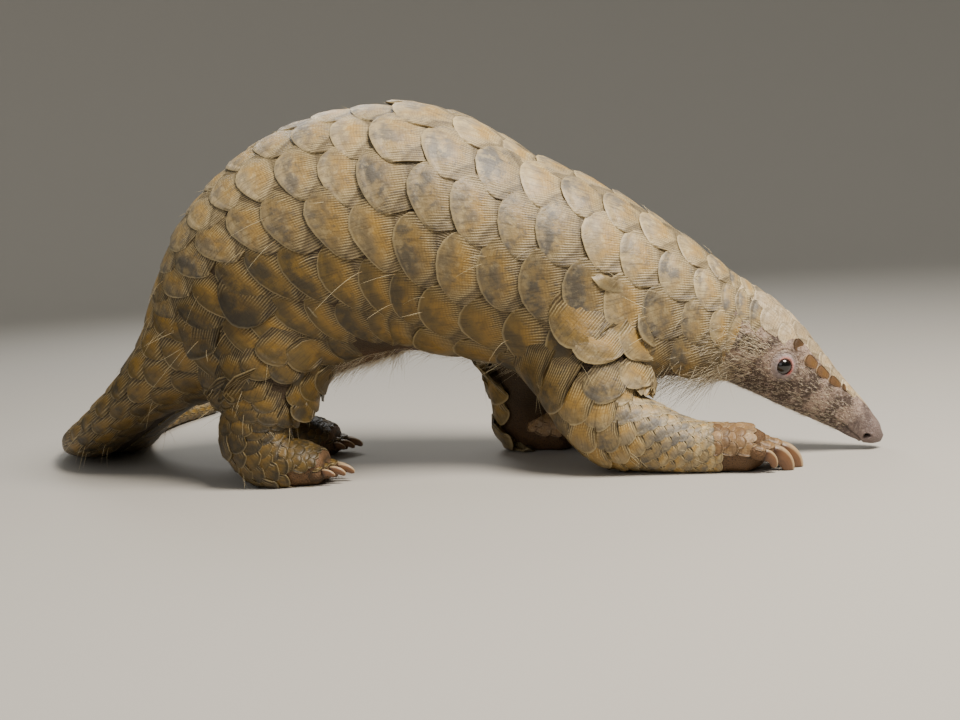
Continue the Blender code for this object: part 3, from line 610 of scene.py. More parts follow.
@dataclass(frozen=True)
class ScaleHorn:
    """Horn of a scale: grown in fine ribs at its root and worn smooth towards its tip.

    The ribs show as a pale and dark comb where one scale comes out from under the next,
    an ochre band glows where the horn is thickest, and grey mottling dulls the worn end.
    Upper scales are paler, partly bleached and partly painted light, and lower, hind and tail scales darker, partly
    their own olive brown and partly painted shade.
    """

    name: str = "grown_horn_scale"
    low: str = "#6b5625"
    high: str = "#b6a27a"
    ochre_low: str = "#8b6a22"
    ochre_high: str = "#b3904e"
    worn_low: str = "#433a26"
    worn_high: str = "#706b63"
    ridge: str = "#cdb98a"
    groove: str = "#2b1c0b"
    comb: float = 0.80
    mottle: float = 0.95
    speck: float = 0.15
    rib_pitch: float = 1.7 * MM    # real ribs are 1.5 mm apart, drawn coarser so that they show
    growth_pitch: float = 2.1 * MM
    roughness: float = 0.50

    def make(self) -> bpy.types.Material:
        """Build the material.

        Returns:
            The finished material.
        """
        f = Finish(self.name)
        across, rise, _ = f.add("SeparateXYZ", f.add(BLADE)).outputs
        tone, breadth, reach, emerge, weather = (
            f.add(("Attribute", {"attribute_name": name})).outputs["Fac"]
            for name in ("tone", "breadth", "reach", "emerge", "weather"))
        place = f.add("TexCoord").outputs["Object"]
        cloud = f.add("TexNoise", Vector=place, Scale=75.0, Detail=5.0, Roughness=0.6)
        blotch = f.add("TexNoise", Vector=place, Scale=170.0, Detail=3.0, Roughness=0.6)
        grain = f.add("TexNoise", Vector=place, Scale=1100.0, Detail=2.0)
        wide = f.add(MULTIPLY, across, breadth)
        long = f.add(MULTIPLY, rise, reach)
        side = f.add(ABSOLUTE, f.add(SUBTRACT, across, 0.5))
        streak_at = f.add("CombineXYZ", f.add(MULTIPLY, wide, 900.0), f.add(MULTIPLY, long, 70.0),
                          f.add(MULTIPLY, tone, 50.0))
        streak = f.add("TexNoise", Vector=streak_at, Scale=1.0, Detail=2.0)
        shown = f.add(MULTIPLY_ADD, cloud, 0.30, f.add(SUBTRACT, emerge, 0.15))
        ochre = f.add(MULTIPLY, f.add(RAMP, shown, 0.02, 0.30), f.add(RAMP, shown, 0.80, 0.42))
        ochre = f.add(MULTIPLY, ochre, f.add(RAMP, side, 0.44, 0.14))
        ochre = f.add(MULTIPLY, ochre, f.add(RAMP, tone, 0.0, 0.7, 0.45, 0.95))
        wear = f.add(MULTIPLY, f.add(RAMP, shown, 0.22, 0.62), f.add(RAMP, cloud, 0.40, 0.58, 0.15, 1.0))
        wear = f.add(MAXIMUM, wear, f.add(MULTIPLY, f.add(RAMP, blotch, 0.52, 0.66), 0.75))
        wear = f.add(MULTIPLY, wear, f.add(MULTIPLY, f.add(RAMP, tone, 1.0, 0.1, 0.45, 1.0), self.mottle))
        pale = f.add(MULTIPLY, f.add(RAMP, blotch, 0.46, 0.36), f.add(MULTIPLY, weather, 0.45))
        # growth lines run across the ribs
        rings = f.add(SINE, f.add(MULTIPLY, f.add(DIVIDE, long, self.growth_pitch), math.tau))
        rings = f.add(MULTIPLY, f.add(RAMP, rings, 0.3, 0.95), f.add(RAMP, shown, 0.62, 0.25, 0.0, 0.30))
        # the comb of ribs is strongest where the scale comes out
        phase = f.add(ADD, f.add(DIVIDE, wide, self.rib_pitch), f.add(MULTIPLY, cloud, 0.5))
        wave = f.add(SINE, f.add(MULTIPLY, phase, math.tau))
        comb = f.add(MULTIPLY, f.add(RAMP, shown, 0.46, 0.10), self.comb)
        ridge = f.add(MULTIPLY, f.add(RAMP, wave, -0.1, 0.8), comb)
        groove = f.add(MULTIPLY, f.add(RAMP, wave, 0.1, -0.7), comb)
        # painted contact shadow: the groove colour darkens the strip where the next scale lies on this one
        painted_contact_shadow = f.add(MULTIPLY, f.add(RAMP, emerge, 0.09, -0.03), f.add(RAMP, emerge, -0.25, -0.02, 0.30, 0.52))
        # base colours follow each scale's bleach value: real bleaching on upper scales, plus painted light on the
        # neck and painted shade on lower, hind and tail scales
        colour = f.add(BLEND, weather, self.low, self.high)
        for share, tint in (
                (ochre, f.add(BLEND, weather, self.ochre_low, self.ochre_high)),
                (wear, f.add(BLEND, weather, self.worn_low, self.worn_high)),
                (pale, self.ridge),
                (f.add(MULTIPLY, f.add(RAMP, streak, 0.52, 0.68), 0.34), self.groove),
                (f.add(MULTIPLY, f.add(RAMP, grain, 0.60, 0.66), self.speck), self.groove),
                (f.add(MULTIPLY, ridge, 0.50), self.ridge),
                (f.add(MAXIMUM, f.add(MULTIPLY, groove, 0.58), rings), self.groove),
                (painted_contact_shadow, self.groove),
                (f.add(MULTIPLY, f.add(RAMP, rise, 0.955, 0.995), 0.35), self.ridge)):
            colour = f.add(BLEND, share, colour, tint)
        # value: a random tone per scale, times painted shade that darkens scales with a low bleach value
        shade = f.add(MULTIPLY, f.add(RAMP, tone, 0.0, 1.0, 0.82, 1.14), f.add(RAMP, weather, -0.7, 0.1, 0.60, 1.0))
        bevel = f.add(MULTIPLY, f.add(RAMP, rise, 1.0, 0.86), f.add(RAMP, side, 0.50, 0.38))
        rough = f.add(MULTIPLY_ADD, cloud, 0.26, self.roughness - 0.13)
        relief = f.add(SUBTRACT, ridge, f.add(MULTIPLY, groove, 0.6))
        return f.finish(f.add("HueSaturation", Color=colour, Value=shade), rough, [
            (bevel, 1.3 * MM), (cloud, 1.2 * MM), (relief, 0.20 * MM), (streak, 0.12 * MM), (blotch, 0.35 * MM),
            (grain, 0.06 * MM)])


@dataclass(frozen=True)
class BareHide:
    """Bare hide of the face, belly and inner legs: thin, wrinkled and dusty, with dark pores."""

    name: str = "bare_hide"
    base: str = "#a08979"
    deep: str = "#493a31"
    light: str = "#cab7a8"
    pore_and_pit_shade: str = "#1e1510"
    lid: str = "#c88d84"
    corner: str = "#9b4038"
    haze: str = "#a3989b"
    nose: str = "#796966"
    cap: str = "#cdb894"
    under: str = "#3a2a14"
    # dark hide colour standing in for painted shade under and between the scales
    belly: str = "#6a4c2e"
    wrinkle: float = 2.2 * MM
    pore_pitch: float = 1.5 * MM

    def make(self) -> bpy.types.Material:
        """Build the material.

        Returns:
            The finished material.
        """
        f = Finish(self.name)
        place = f.add("TexCoord").outputs["Object"]
        cloud = f.add("TexNoise", Vector=place, Scale=70.0, Detail=5.0, Roughness=0.6)
        fine = f.add("TexNoise", Vector=place, Scale=420.0, Detail=4.0, Roughness=0.65)
        cells = f.add(CREASES, Vector=place, Scale=1 / self.wrinkle)
        pores = f.add("TexVoronoi", Vector=place, Scale=1 / self.pore_pitch, Randomness=1.0)
        lid, corner, haze, pit, nose, face, belly, cap = (
            f.add(("Attribute", {"attribute_name": name})).outputs["Fac"] for name in HIDE_TRAITS)
        patch = f.add(RAMP, f.add(SUBTRACT, cloud, f.add(MULTIPLY, belly, 0.10)), 0.40, 0.60)
        colour = f.add(BLEND, patch, self.deep, self.base)
        colour = f.add(BLEND, f.add(MULTIPLY, f.add(RAMP, fine, 0.50, 0.68), 0.60), colour, self.light)
        dusty = f.add(MULTIPLY, belly, f.add(RAMP, cloud, 0.3, 0.7, 0.4, 1.0))
        # off the face the hide takes a dark colour as painted shade under and between the scales, lightened by dusty
        # patches on the belly
        colour = f.add(BLEND, face, f.add(BLEND, dusty, self.under, self.belly), colour)
        bleached = f.add(MULTIPLY_ADD, cloud, 0.9, f.add(SUBTRACT, cap, 0.45))
        bleached = f.add(MULTIPLY, f.add(RAMP, bleached, 0.35, 0.75), f.add(RAMP, cap, 0.0, 0.3))
        dots = f.add(MULTIPLY, f.add(RAMP, pores.outputs["Distance"], 0.36, 0.20), f.add(RAMP, cloud, 0.40, 0.55))
        clean = f.add(SUBTRACT, 1.0, f.add(MAXIMUM, f.add(MULTIPLY, nose, 0.6), lid))
        for share, tint in (
                (bleached, self.cap),
                (f.add(MULTIPLY, f.add(MULTIPLY, dots, clean), 0.8), self.pore_and_pit_shade),
                (f.add(MULTIPLY, nose, 0.8), self.nose),
                (f.add(MULTIPLY, haze, f.add(RAMP, fine, 0.3, 0.6, 0.6, 0.95)), self.haze),
                # painted shade in the pits: inside the nostrils, along the mouth, in the ear hollows and round the
                # eyes' rims
                (lid, self.lid), (corner, self.corner), (pit, self.pore_and_pit_shade)):
            colour = f.add(BLEND, share, colour, tint)
        rough = f.add(SUBTRACT, 0.66, f.add(MULTIPLY, nose, 0.24))
        creases = f.add(RAMP, cells.outputs["Distance"], 0.0, 0.22)
        return f.finish(colour, rough, [(cloud, 1.0 * MM), (creases, 0.22 * MM), (fine, 0.28 * MM)])


@dataclass(frozen=True)
class ClawHorn:
    """Claw horn: ground by digging, brown at the root and pale on top, partly worn horn and partly a painted
    highlight, with long streaks.
    """

    name: str = "ground_claw_horn"
    root: str = "#412a1b"
    middle: str = "#735136"
    top: str = "#c0a680"

    def make(self) -> bpy.types.Material:
        """Build the material.

        Returns:
            The finished material.
        """
        f = Finish(self.name)
        around, rise, _ = f.add("SeparateXYZ", f.add(BLADE)).outputs
        crown = f.add(("Attribute", {"attribute_name": "crown"})).outputs["Fac"]
        streak_at = f.add("CombineXYZ", f.add(MULTIPLY, around, 26.0), f.add(MULTIPLY, rise, 2.2))
        streak = f.add("TexNoise", Vector=streak_at, Scale=1.6, Detail=4.0)
        height = f.add(MULTIPLY_ADD, streak, 0.35, f.add(SUBTRACT, rise, 0.17))
        # pale top of the claw: partly worn horn, partly a painted highlight on the side facing up
        worn = f.add(MULTIPLY, f.add(RAMP, crown, 0.50, 0.97), f.add(RAMP, height, 0.0, 0.3, 0.5, 0.95))
        colour = f.add(BLEND, f.add(RAMP, height, 0.0, 0.35), self.root, self.middle)
        colour = f.add(BLEND, worn, colour, self.top)
        colour = f.add(BLEND, f.add(MULTIPLY, f.add(RAMP, streak, 0.5, 0.7), 0.4), colour, self.root)
        return f.finish(colour, 0.34, [(streak, 0.25 * MM)])


@dataclass(frozen=True)
class WetEye:
    """The eye: dark, wet and clear in front, so that it holds a sharp highlight."""

    name: str = "wet_eye"
    pupil: str = "#040404"
    iris: str = "#1c110b"
    rim: str = "#3b2c26"

    def make(self) -> bpy.types.Material:
        """Build the material.

        Returns:
            The finished material.
        """
        f = Finish(self.name)
        gaze = f.add(("Attribute", {"attribute_name": "gaze"})).outputs["Fac"]
        colour = f.add(BLEND, f.add(RAMP, gaze, 0.86, 0.80), self.pupil, self.iris)
        colour = f.add(BLEND, f.add(RAMP, gaze, 0.66, 0.55), colour, self.rim)
        return f.finish(colour, 0.12, [], Coat_Weight=1.0, Coat_Roughness=0.02, IOR=1.376)


@dataclass(frozen=True)
class DryHair:
    """Stiff dry hair, pale along its shaft and brown at its root."""

    name: str = "dry_bristle"
    root: str = "#8f7448"
    shaft: str = "#e6d6ac"

    def make(self) -> bpy.types.Material:
        """Build the material.

        Returns:
            The finished material.
        """
        f = Finish(self.name)
        reach, tone = (f.add(("Attribute", {"attribute_name": name})).outputs["Fac"] for name in ("reach", "tone"))
        colour = f.add(BLEND, f.add(RAMP, reach, 0.0, 0.35), self.root, self.shaft)
        return f.finish(f.add(BLEND, f.add(MULTIPLY, tone, 0.35), colour, self.root), 0.5, [])


@dataclass(frozen=True)
class MattFloor:
    """A pale matt studio floor that curves up into its backdrop."""

    name: str = "matt_floor"
    base: str = "#b9b5ad"

    def make(self) -> bpy.types.Material:
        """Build the material.

        Returns:
            The finished material.
        """
        f = Finish(self.name)
        speck = f.add("TexNoise", Vector=f.add("TexCoord").outputs["Object"], Scale=400.0, Detail=2.0)
        return f.finish(self.base, 0.85, [(speck, 0.05 * MM)])


class Look(Enum):
    """The finishes of this object."""

    SCALE = ScaleHorn()
    CAP = ScaleHorn("worn_cap_horn", "#b89f78", "#d6c29e", "#b39160", "#ccb083", "#6b5a45", "#9a8b74", "#e2d4b6",
                    "#4a3722", 0.06, 0.50, 0.55)
    AMBER = ScaleHorn("amber_toe_horn", "#785838", "#b39268", "#7f5c30", "#a98655", "#54402a", "#80694c", "#dcc59c",
                      "#33220f", 0.15, 0.60, 0.35)
    HIDE = BareHide()
    CLAW = ClawHorn()
    EYE = WetEye()
    BRISTLE = DryHair()
    FUR = DryHair("cream_fur", "#a5865c", "#f0e3c4")
    FLOOR = MattFloor()


@cache
def finish_of(look: Look) -> bpy.types.Material:
    """Give a finish's material, made once."""
    return look.value.make()


def dress(piece: bpy.types.Object, look: Look, slot: str, *nodes: str) -> None:
    """Give a piece its finish and its body, and hide the nodes that it stands for.

    Args:
        piece: the piece.
        look: its finish.
        slot: not used.
        nodes: the solids that it takes the place of.
    """
    piece.data.materials.clear()
    piece.data.materials.append(finish_of(look))
    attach(piece, "root")
    if nodes:
        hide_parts(*nodes)
    LOG.info("%s: %d faces", piece.name, len(piece.data.polygons))


# The skin

@dataclass
class Relief:
    """Lids, nostrils, ears and mouth, as height over the plain skin and marks for its finish."""

    points: np.ndarray
    along: np.ndarray
    angle: np.ndarray
    lid_radius: tuple = (0, 4.3, 4.9, 5.3, 5.7, 6.4, 7.3, 8.3, 9.4, 10.6, 13.0, 16.0)
    upper_lid: tuple = (-8, -8, -5.0, 0.95, 1.75, 1.95, 1.5, 0.6, -0.2, -0.3, -0.1, 0.0)
    lower_lid: tuple = (-8, -8, -5.0, 0.55, 0.85, 0.75, 0.35, 0.1, -0.15, -0.2, -0.1, 0.0)
    nostril_size: tuple = (1.7, 3.0)
    nostril_depth: float = 3.6
    ear_size: tuple = (5.4, 8.0)
    ear_flap: float = 2.2
    # how far off the skin a spot's relief still reaches, so that it stays on its own side
    eye_reach: float = 0.018
    nostril_reach: float = 0.008
    ear_reach: float = 0.016
    throat: float = 0.135
    tail_root: float = 0.57

    def __post_init__(self) -> None:
        """Start with plain skin."""
        self.lift = np.zeros(len(self.points))
        self.traits = {name: np.zeros(len(self.points)) for name in HIDE_TRAITS}

    def mark(self, name: str, value: np.ndarray, near: np.ndarray | bool = True) -> None:
        """Raise one mark of the finish where a value is higher."""
        self.traits[name] = np.maximum(self.traits[name], np.where(near, value, 0.0))

    def eye(self, side: int) -> None:
        """Raise the lids of one eye, and mark their colours.

        Args:
            side: 1 for the right eye, -1 for the left.
        """
        ahead, up, out = Spot.on(SPINE_COURSE, EYE_PLACE, side).flat(self.points)
        near = np.abs(out) < self.eye_reach
        theta = np.arctan2(up, ahead)
        opening = np.hypot(ahead, up * 1.04) / MM * (1 + 0.07 * np.cos(2 * (theta - 0.5)))
        upper = 0.5 + 0.5 * np.cos(theta - math.radians(70))
        rise = (np.interp(opening, self.lid_radius, self.upper_lid) * upper
                + np.interp(opening, self.lid_radius, self.lower_lid) * (1 - upper))
        folds = 0.22 * np.sin(opening * 2.6) * np.clip((opening - 8) / 2, 0, 1) * np.clip((17 - opening) / 6, 0, 1)
        brow = 1.6 * np.exp(-((ahead - 0.001) / 0.010) ** 2 - ((up - 0.0145) / 0.005) ** 2)
        self.lift += np.where(near, rise + folds + brow, 0.0) * MM
        self.mark("lid", np.interp(opening, [4.4, 5.0, 6.4, 7.8], [0, 1, 0.95, 0])
                  * np.clip(upper * 1.9 - 0.35, 0, 1), near)
        self.mark("corner", np.interp(opening, [4.4, 4.9, 6.0, 6.9], [0, 1, 1, 0])
                  * np.exp(-((theta - math.radians(-8)) / 0.42) ** 2), near)
        self.mark("haze", np.interp(opening, [4.4, 5.0, 6.4, 8.2, 10.2, 12.0], [0, 1, 0.9, 0.50, 0.28, 0]), near)
        # painted shade in the crease between lid and eyeball
        self.mark("pit", np.interp(opening, [4.5, 5.05], [1, 0]), near)

    def nostril(self, side: int) -> None:
        """Sink one nostril as a curved comma with a low rim.

        Args:
            side: 1 for the right nostril, -1 for the left.
        """
        ahead, up, out = Spot.on(SPINE_COURSE, NOSTRIL_PLACE, side).flat(self.points)
        near = np.abs(out) < self.nostril_reach
        lean = math.radians(55)
        long = (ahead * math.cos(lean) + up * math.sin(lean)) / MM
        wide = (ahead * -math.sin(lean) + up * math.cos(lean)) / MM + 0.12 * long ** 2
        radius = np.hypot(wide / self.nostril_size[0], long / self.nostril_size[1])
        depth = self.nostril_depth
        rise = np.interp(radius, [0, 0.55, 1.0, 1.45, 2.2, 3.0], [-depth, -depth * 0.8, -0.1, 0.75, 0.25, 0])
        self.lift += np.where(near, rise, 0.0) * MM
        # painted shade inside the nostril
        self.mark("pit", np.interp(radius, [0.6, 1.05], [1, 0]), near)

    def ear(self, side: int) -> None:
        """Raise one ear's low flap behind its hollow.

        Args:
            side: 1 for the right ear, -1 for the left.
        """
        ahead, up, out = Spot.on(SPINE_COURSE, EAR_PLACE, side).flat(self.points)
        near = np.abs(out) < self.ear_reach
        radius = np.hypot(ahead / MM / self.ear_size[0], up / MM / self.ear_size[1])
        behind = np.clip(0.5 - 0.9 * ahead / MM / self.ear_size[0], 0, 1)
        flap = np.exp(-((radius - 1.0) / 0.22) ** 2) * behind * self.ear_flap
        hollow = np.clip(1 - radius, 0, 1) * self.ear_flap
        self.lift += np.where(near, flap - hollow, 0.0) * MM
        # painted shade in the ear's hollow
        self.mark("pit", np.clip(1.1 - radius, 0, 1) * 0.6, near)

    def mouth(self) -> None:
        """Sink the line of the mouth between two low lips."""
        line = MOUTH_LINE + [(0.0100, 180.0)] + [(a, FULL_TURN - t) for a, t in reversed(MOUTH_LINE)]
        alongs, turned = np.array(line).T
        fine = np.linspace(0, len(line) - 1, 90)
        stops = np.arange(len(line))
        path = SPINE_COURSE.point(np.interp(fine, stops, alongs), np.interp(fine, stops, turned))
        gap = np.full(len(self.points), 1.0)
        near = np.all((self.points > path.min(axis=0) - 0.006) & (self.points < path.max(axis=0) + 0.006), axis=1)
        gap[near] = np.linalg.norm(self.points[near][:, None, :] - path[None, :, :], axis=2).min(axis=1)
        gap = gap / MM
        self.lift += np.interp(gap, [0, 0.45, 1.1, 1.9, 3.2, 4.6], [-1.1, -0.8, 0.0, 0.35, 0.12, 0]) * MM
        # painted shade along the mouth line
        self.mark("pit", np.interp(gap, [0.3, 0.9], [0.7, 0]))

    def make(self) -> tuple[np.ndarray, dict]:
        """Work out the whole relief.

        Returns:
            The height over the plain skin, and the attributes for the finish.
        """
        along = self.along
        turn = np.abs(self.angle)
        self.traits["nose"] = np.interp(along, [0.010, 0.036], [1, 0])
        self.traits["face"] = np.interp(along, [0.125, 0.150], [1, 0])
        self.traits["belly"] = np.where(along < self.throat, np.interp(turn, [98, 140], [0, 1]),
                                        np.interp(turn, [140, 160], [0, 1])) * (along < self.tail_root)
        border = np.interp(along, [0.012, 0.035, 0.060, 0.130], [16, 30, 43, 52])
        self.traits["cap"] = np.clip((border - turn) / 8, 0, 1) * np.interp(along, [0.008, 0.030], [0, 1])
        for side in (1, -1):
            self.eye(side)
            self.nostril(side)
            self.ear(side)
        self.mouth()
        return self.lift, self.traits


@dataclass
class Skin:
    """One hide over head, body, tail and legs."""

    leg_sides: int = 36
    leg_stations: int = 64
    blend_reach: float = 22 * MM
    toe_blend_reach: float = 2.5 * MM
    toe_height: float = 0.05
    blend_rounds: int = 14
    fold_angle: float = 38.0
    face_end: float = 0.15
    middle: tuple = ("head", "neck", "chest", "torso", "rump", "tail_base", "tail_middle", "tail_end", "tail_tip")
    paired: tuple = (("foreleg", "forearm", "forepaw"), ("hindleg", "shank", "hindfoot"), ("ear",))

    def stations(self) -> np.ndarray:
        """Give the distances of the body's rings, closest on the nose and round the eyes.

        Returns:
            The distances.
        """
        spans = [(0.0, 0.022, 0.5), (0.022, 0.078, 1.0), (0.078, 0.104, 0.45), (0.104, 0.138, 0.8),
                 (0.138, 0.20, 3.0), (0.20, 0.96, 7.0), (0.96, SPINE_COURSE.length, 3.0)]
        parts = [np.arange(low, high - 0.2 * step * MM, step * MM) for low, high, step in spans]
        return np.concatenate(parts + [[SPINE_COURSE.length]])

    def angles(self) -> np.ndarray:
        """Give the angles of the body's vertices, closest at the height of the eyes and ears.

        Returns:
            The angles.
        """
        spans = [(0, 66, 3.0), (66, 112, 0.8), (112, 160, 1.6), (160, 180, 3.0)]
        half = np.concatenate([np.arange(*span) for span in spans])
        return np.concatenate([half, FULL_TURN - half[1:][::-1]])

    def body(self) -> bpy.types.Object:
        """Build head, body and tail.

        Returns:
            The piece.
        """
        stations = self.stations()
        angles = self.angles()
        along, angle, faces = Course.loft(stations, angles)
        points = SPINE_COURSE.skin(along, angle)
        lift, traits = Relief(points, along, np.where(angle > 180, angle - FULL_TURN, angle)).make()
        points = SPINE_COURSE.closed(points + SPINE_COURSE.normal(along, angle) * lift[:, None])
        traits = {name: np.concatenate([values, [values[0], 0.0]]) for name, values in traits.items()}
        maps = [spine_map(stations[row], turn - 180.0) for row, turn in corner_places(faces, stations, angles)]
        sheets = Sheets()
        sheets.add(points, faces, {BAKE_MAP: maps}, traits)
        return sheets.build("hide")

    def leg(self, limb: Limb) -> bpy.types.Object:
        """Build one leg.

        Args:
            limb: the leg.

        Returns:
            The piece, to be joined to the body.
        """
        course = limb.course
        stations = np.linspace(0.0, course.length, self.leg_stations)
        angles = turns(self.leg_sides)
        along, angle, faces = Course.loft(stations, angles)
        maps = [limb_map(limb, stations[row], turn - 180.0) for row, turn in corner_places(faces, stations, angles)]
        near_foot = np.append(np.interp(along, course.length - np.array([0.06, 0.02]), [0, 1]), [0.0, 1.0])
        sheets = Sheets()
        sheets.add(course.closed(course.skin(along, angle)), faces, {BAKE_MAP: maps},
                   dict.fromkeys(HIDE_TRAITS, 0.0) | {"belly": near_foot})
        return sheets.build(limb.name)

    def make(self) -> bpy.types.Object:
        """Build the whole hide and join its parts into one closed surface.

        Returns:
            The hide.
        """
        hide = self.body()
        faces_out(hide)
        extra = bpy.data.collections.new("joined")
        bpy.context.scene.collection.children.link(extra)
        limbs = [self.leg(limb) for limb in LIMBS] + [toe for foot in FEET for toe in foot.toes()]
        for limb in limbs:
            faces_out(limb)
            bpy.context.scene.collection.objects.unlink(limb)
            extra.objects.link(limb)
        union = hide.modifiers.new("union", "BOOLEAN")
        union.operation = "UNION"
        union.solver = "MANIFOLD"
        union.operand_type = "COLLECTION"
        union.collection = extra
        select_only(hide)
        bpy.ops.object.modifier_apply(modifier="union")
        for limb in limbs:
            bpy.data.objects.remove(limb, do_unlink=True)
        bpy.data.collections.remove(extra)
        self.blend(hide)
        nodes = [name + side for group in self.paired for side in ("_right", "_left") for name in group]
        dress(hide, Look.HIDE, "skin", *self.middle, *nodes)
        return hide

    def blend(self, hide: bpy.types.Object) -> None:
        """Round the folds where the legs leave the body and the toes leave the feet.

        Args:
            hide: the joined hide.
        """
        work = bmesh.new()
        work.from_mesh(hide.data)
        work.verts.ensure_lookup_table()
        fold = math.radians(self.fold_angle)
        seams = [edge for edge in work.edges if edge.is_manifold and edge.calc_face_angle(0.0) > fold]
        places = np.array([(edge.verts[0].co + edge.verts[1].co) / 2 for edge in seams])
        places = places[places[:, 0] < SPINE_COURSE.read(np.array([self.face_end]))[0, 0]]
        points = np.array([vert.co for vert in work.verts])
        soft = np.zeros(len(points), bool)
        for group, reach in ((places[places[:, 2] > self.toe_height], self.blend_reach),
                             (places[places[:, 2] <= self.toe_height], self.toe_blend_reach)):
            tree = nearest(group)
            soft |= np.array([tree.find(Vector(point))[2] < reach for point in points])
        chosen = [work.verts[i] for i in np.nonzero(soft)[0]]
        for _ in range(self.blend_rounds):
            bmesh.ops.smooth_vert(work, verts=chosen, factor=0.5, use_axis_x=True, use_axis_y=True, use_axis_z=True)
        for vert in work.verts:
            vert.co.z = max(vert.co.z, FLOOR_LEVEL)
        work.to_mesh(hide.data)
        work.free()
        hide.data.shade_smooth()


def nearest(places: list | np.ndarray) -> KDTree:
    """Sort places for finding the nearest.

    Args:
        places: the places, in order.

    Returns:
        The sorted tree.
    """
    tree = KDTree(len(places))
    for number, place in enumerate(places):
        tree.insert(Vector(place), number)
    tree.balance()
    return tree


def toe_cell(limb: Limb, number: int) -> np.ndarray:
    """Give the place of one toe on the bake map, at the end of its leg's part."""
    return limb_map(limb, np.array([limb.course.length]), np.array([30.0 * number - 60.0]))[0]


def read_table(table: tuple, place: float) -> float:
    """Read a table of pairs at a place between them."""
    return float(np.interp(place, *zip(*table)))


def select_only(piece: bpy.types.Object) -> None:
    """Select one object and nothing else.

    Args:
        piece: the object.
    """
    bpy.ops.object.select_all(action="DESELECT")
    piece.select_set(True)
    bpy.context.view_layer.objects.active = piece


# Feet

@dataclass
class Foot:
    """The toes and claws of one foot, from the inner to the outer side."""

    name: str
    front: float
    middle: float
    height: float
    spread: tuple
    knuckle: tuple
    claw_base: tuple
    claw_curl: tuple
    claw_sweep: float
    claw_start: float
    claw_taper: float = 0.34
    claw_steps: int = 14
    claw_sides: int = 14
    claw_stations: int = 20
    blunt: float = 0.5 * MM
    cad_steps: int = 4
    toe_sides: int = 14
    toe_stations: int = 9

    def toe_line(self, number: int) -> tuple[np.ndarray, float, np.ndarray]:
        """Give the line of one toe.

        Args:
            number: the toe's number, from the inner side.

        Returns:
            The knuckle's centre and size, and the direction of its claw.
        """
        across = self.spread[number]
        centre = np.array([self.front - FOOT_ARC * abs(across), self.middle + across, self.height]) + SHIFT
        pitch = math.radians(self.claw_start + 0.5 * self.claw_sweep / self.cad_steps)
        return centre, self.knuckle[number], np.array([math.cos(pitch), 0.0, -math.sin(pitch)])

    def toe_courses(self) -> list[Course]:
        """Give the five toes' courses.

        Returns:
            The courses, from the inner side.
        """
        courses = []
        for number in range(len(self.spread)):
            centre, size, heading = self.toe_line(number)
            rings = []
            for reach, share, spread in TOE_SHAPE:
                at = centre + heading * reach * size
                at[1] += (spread - 1.0) * self.spread[number]
                thick = share * size
                rings.append(Ring(*at, 0.86 * thick, thick, thick, 2.2))
            courses.append(Course(rings, np.zeros(3)))
        return courses

    def toes(self) -> list[bpy.types.Object]:
        """Build the five toes as closed lofts.

        Returns:
            The pieces, to be joined to the leg.
        """
        pieces = []
        limb = LIMBS[[foot.name for foot in FEET].index(self.name)]
        for number, course in enumerate(self.toe_courses()):
            along, angle, faces = Course.loft(np.linspace(0, course.length, self.toe_stations), turns(self.toe_sides))
            maps = [np.broadcast_to(toe_cell(limb, number), (*part.shape, 2)) for part in faces]
            sheets = Sheets()
            sheets.add(course.closed(course.skin(along, angle)), faces, {BAKE_MAP: maps},
                       dict.fromkeys(HIDE_TRAITS, 0.0) | {"belly": 1.0})
            pieces.append(sheets.build("toe"))
        return pieces

    def claws(self) -> None:
        """Build the five claws as one piece, each curling down in its own plane."""
        sheets = Sheets()
        for number in range(len(self.spread)):
            centre, size, heading = self.toe_line(number)
            at = centre + heading * (TOE_SHAPE[-1][0] * size - CLAW_GAP)
            stride = self.claw_curl[number] * math.radians(self.claw_sweep) / self.claw_steps
            rings = []
            for i in range(self.claw_steps + 1):
                share = i / self.claw_steps
                thick = self.claw_base[number] * (1.0 - share) ** self.claw_taper + self.blunt
                rings.append(Ring(*at, 0.62 * thick, 0.92 * thick, 0.80 * thick, 2.3))
                pitch = math.radians(self.claw_start + self.claw_sweep * (share + 0.5 / self.claw_steps))
                at = at + np.array([math.cos(pitch), 0.0, -math.sin(pitch)]) * stride
            course = Course(rings, np.zeros(3), (0, 0, 1), (1, 0, 0))
            stations = np.linspace(0, course.length, self.claw_stations)
            angles = turns(self.claw_sides)
            along, angle, faces = Course.loft(stations, angles)
            points = course.closed(course.skin(along, angle))
            points[:, 2] = np.maximum(points[:, 2], FLOOR_LEVEL)
            blade = [np.stack([turn / FULL_TURN, stations[row] / course.length], axis=-1)
                     for row, turn in corner_places(faces, stations, angles)]
            crown = np.append(np.cos(np.radians(angle)), [0.0, 0.0])
            sheets.add(points, faces, {BLADE_MAP: blade}, {"crown": crown})
        piece = sheets.build("claws_" + self.name)
        faces_out(piece)
        dress(piece, Look.CLAW, "claw", *(f"claw_{self.name}_{number + 1}" for number in range(len(self.spread))))


FORE_TOES = ((-0.0190, -0.0106, 0.0, 0.0106, 0.0190), (0.0048, 0.0066, 0.0074, 0.0064, 0.0046),
             (0.0044, 0.0072, 0.0080, 0.0070, 0.0042), (0.0070, 0.0115, 0.0125, 0.0110, 0.0070), 100.0, 8.0)
HIND_TOES = ((-0.0152, -0.0082, 0.0, 0.0082, 0.0152), (0.0046, 0.0054, 0.0058, 0.0054, 0.0046),
             (0.0026, 0.0033, 0.0036, 0.0033, 0.0026), (0.0085, 0.0105, 0.0110, 0.0105, 0.0085), 62.0, -12.0)
FEET = [
    Foot("right_fore", 0.2020, -0.0600, 0.0150, *FORE_TOES),
    Foot("left_fore", 0.0660, 0.0500, 0.0150, *FORE_TOES),
    Foot("right_hind", -0.1080, -0.0580, 0.0090, *HIND_TOES),
    Foot("left_hind", -0.1280, 0.0580, 0.0090, *HIND_TOES),
]


# Eyes

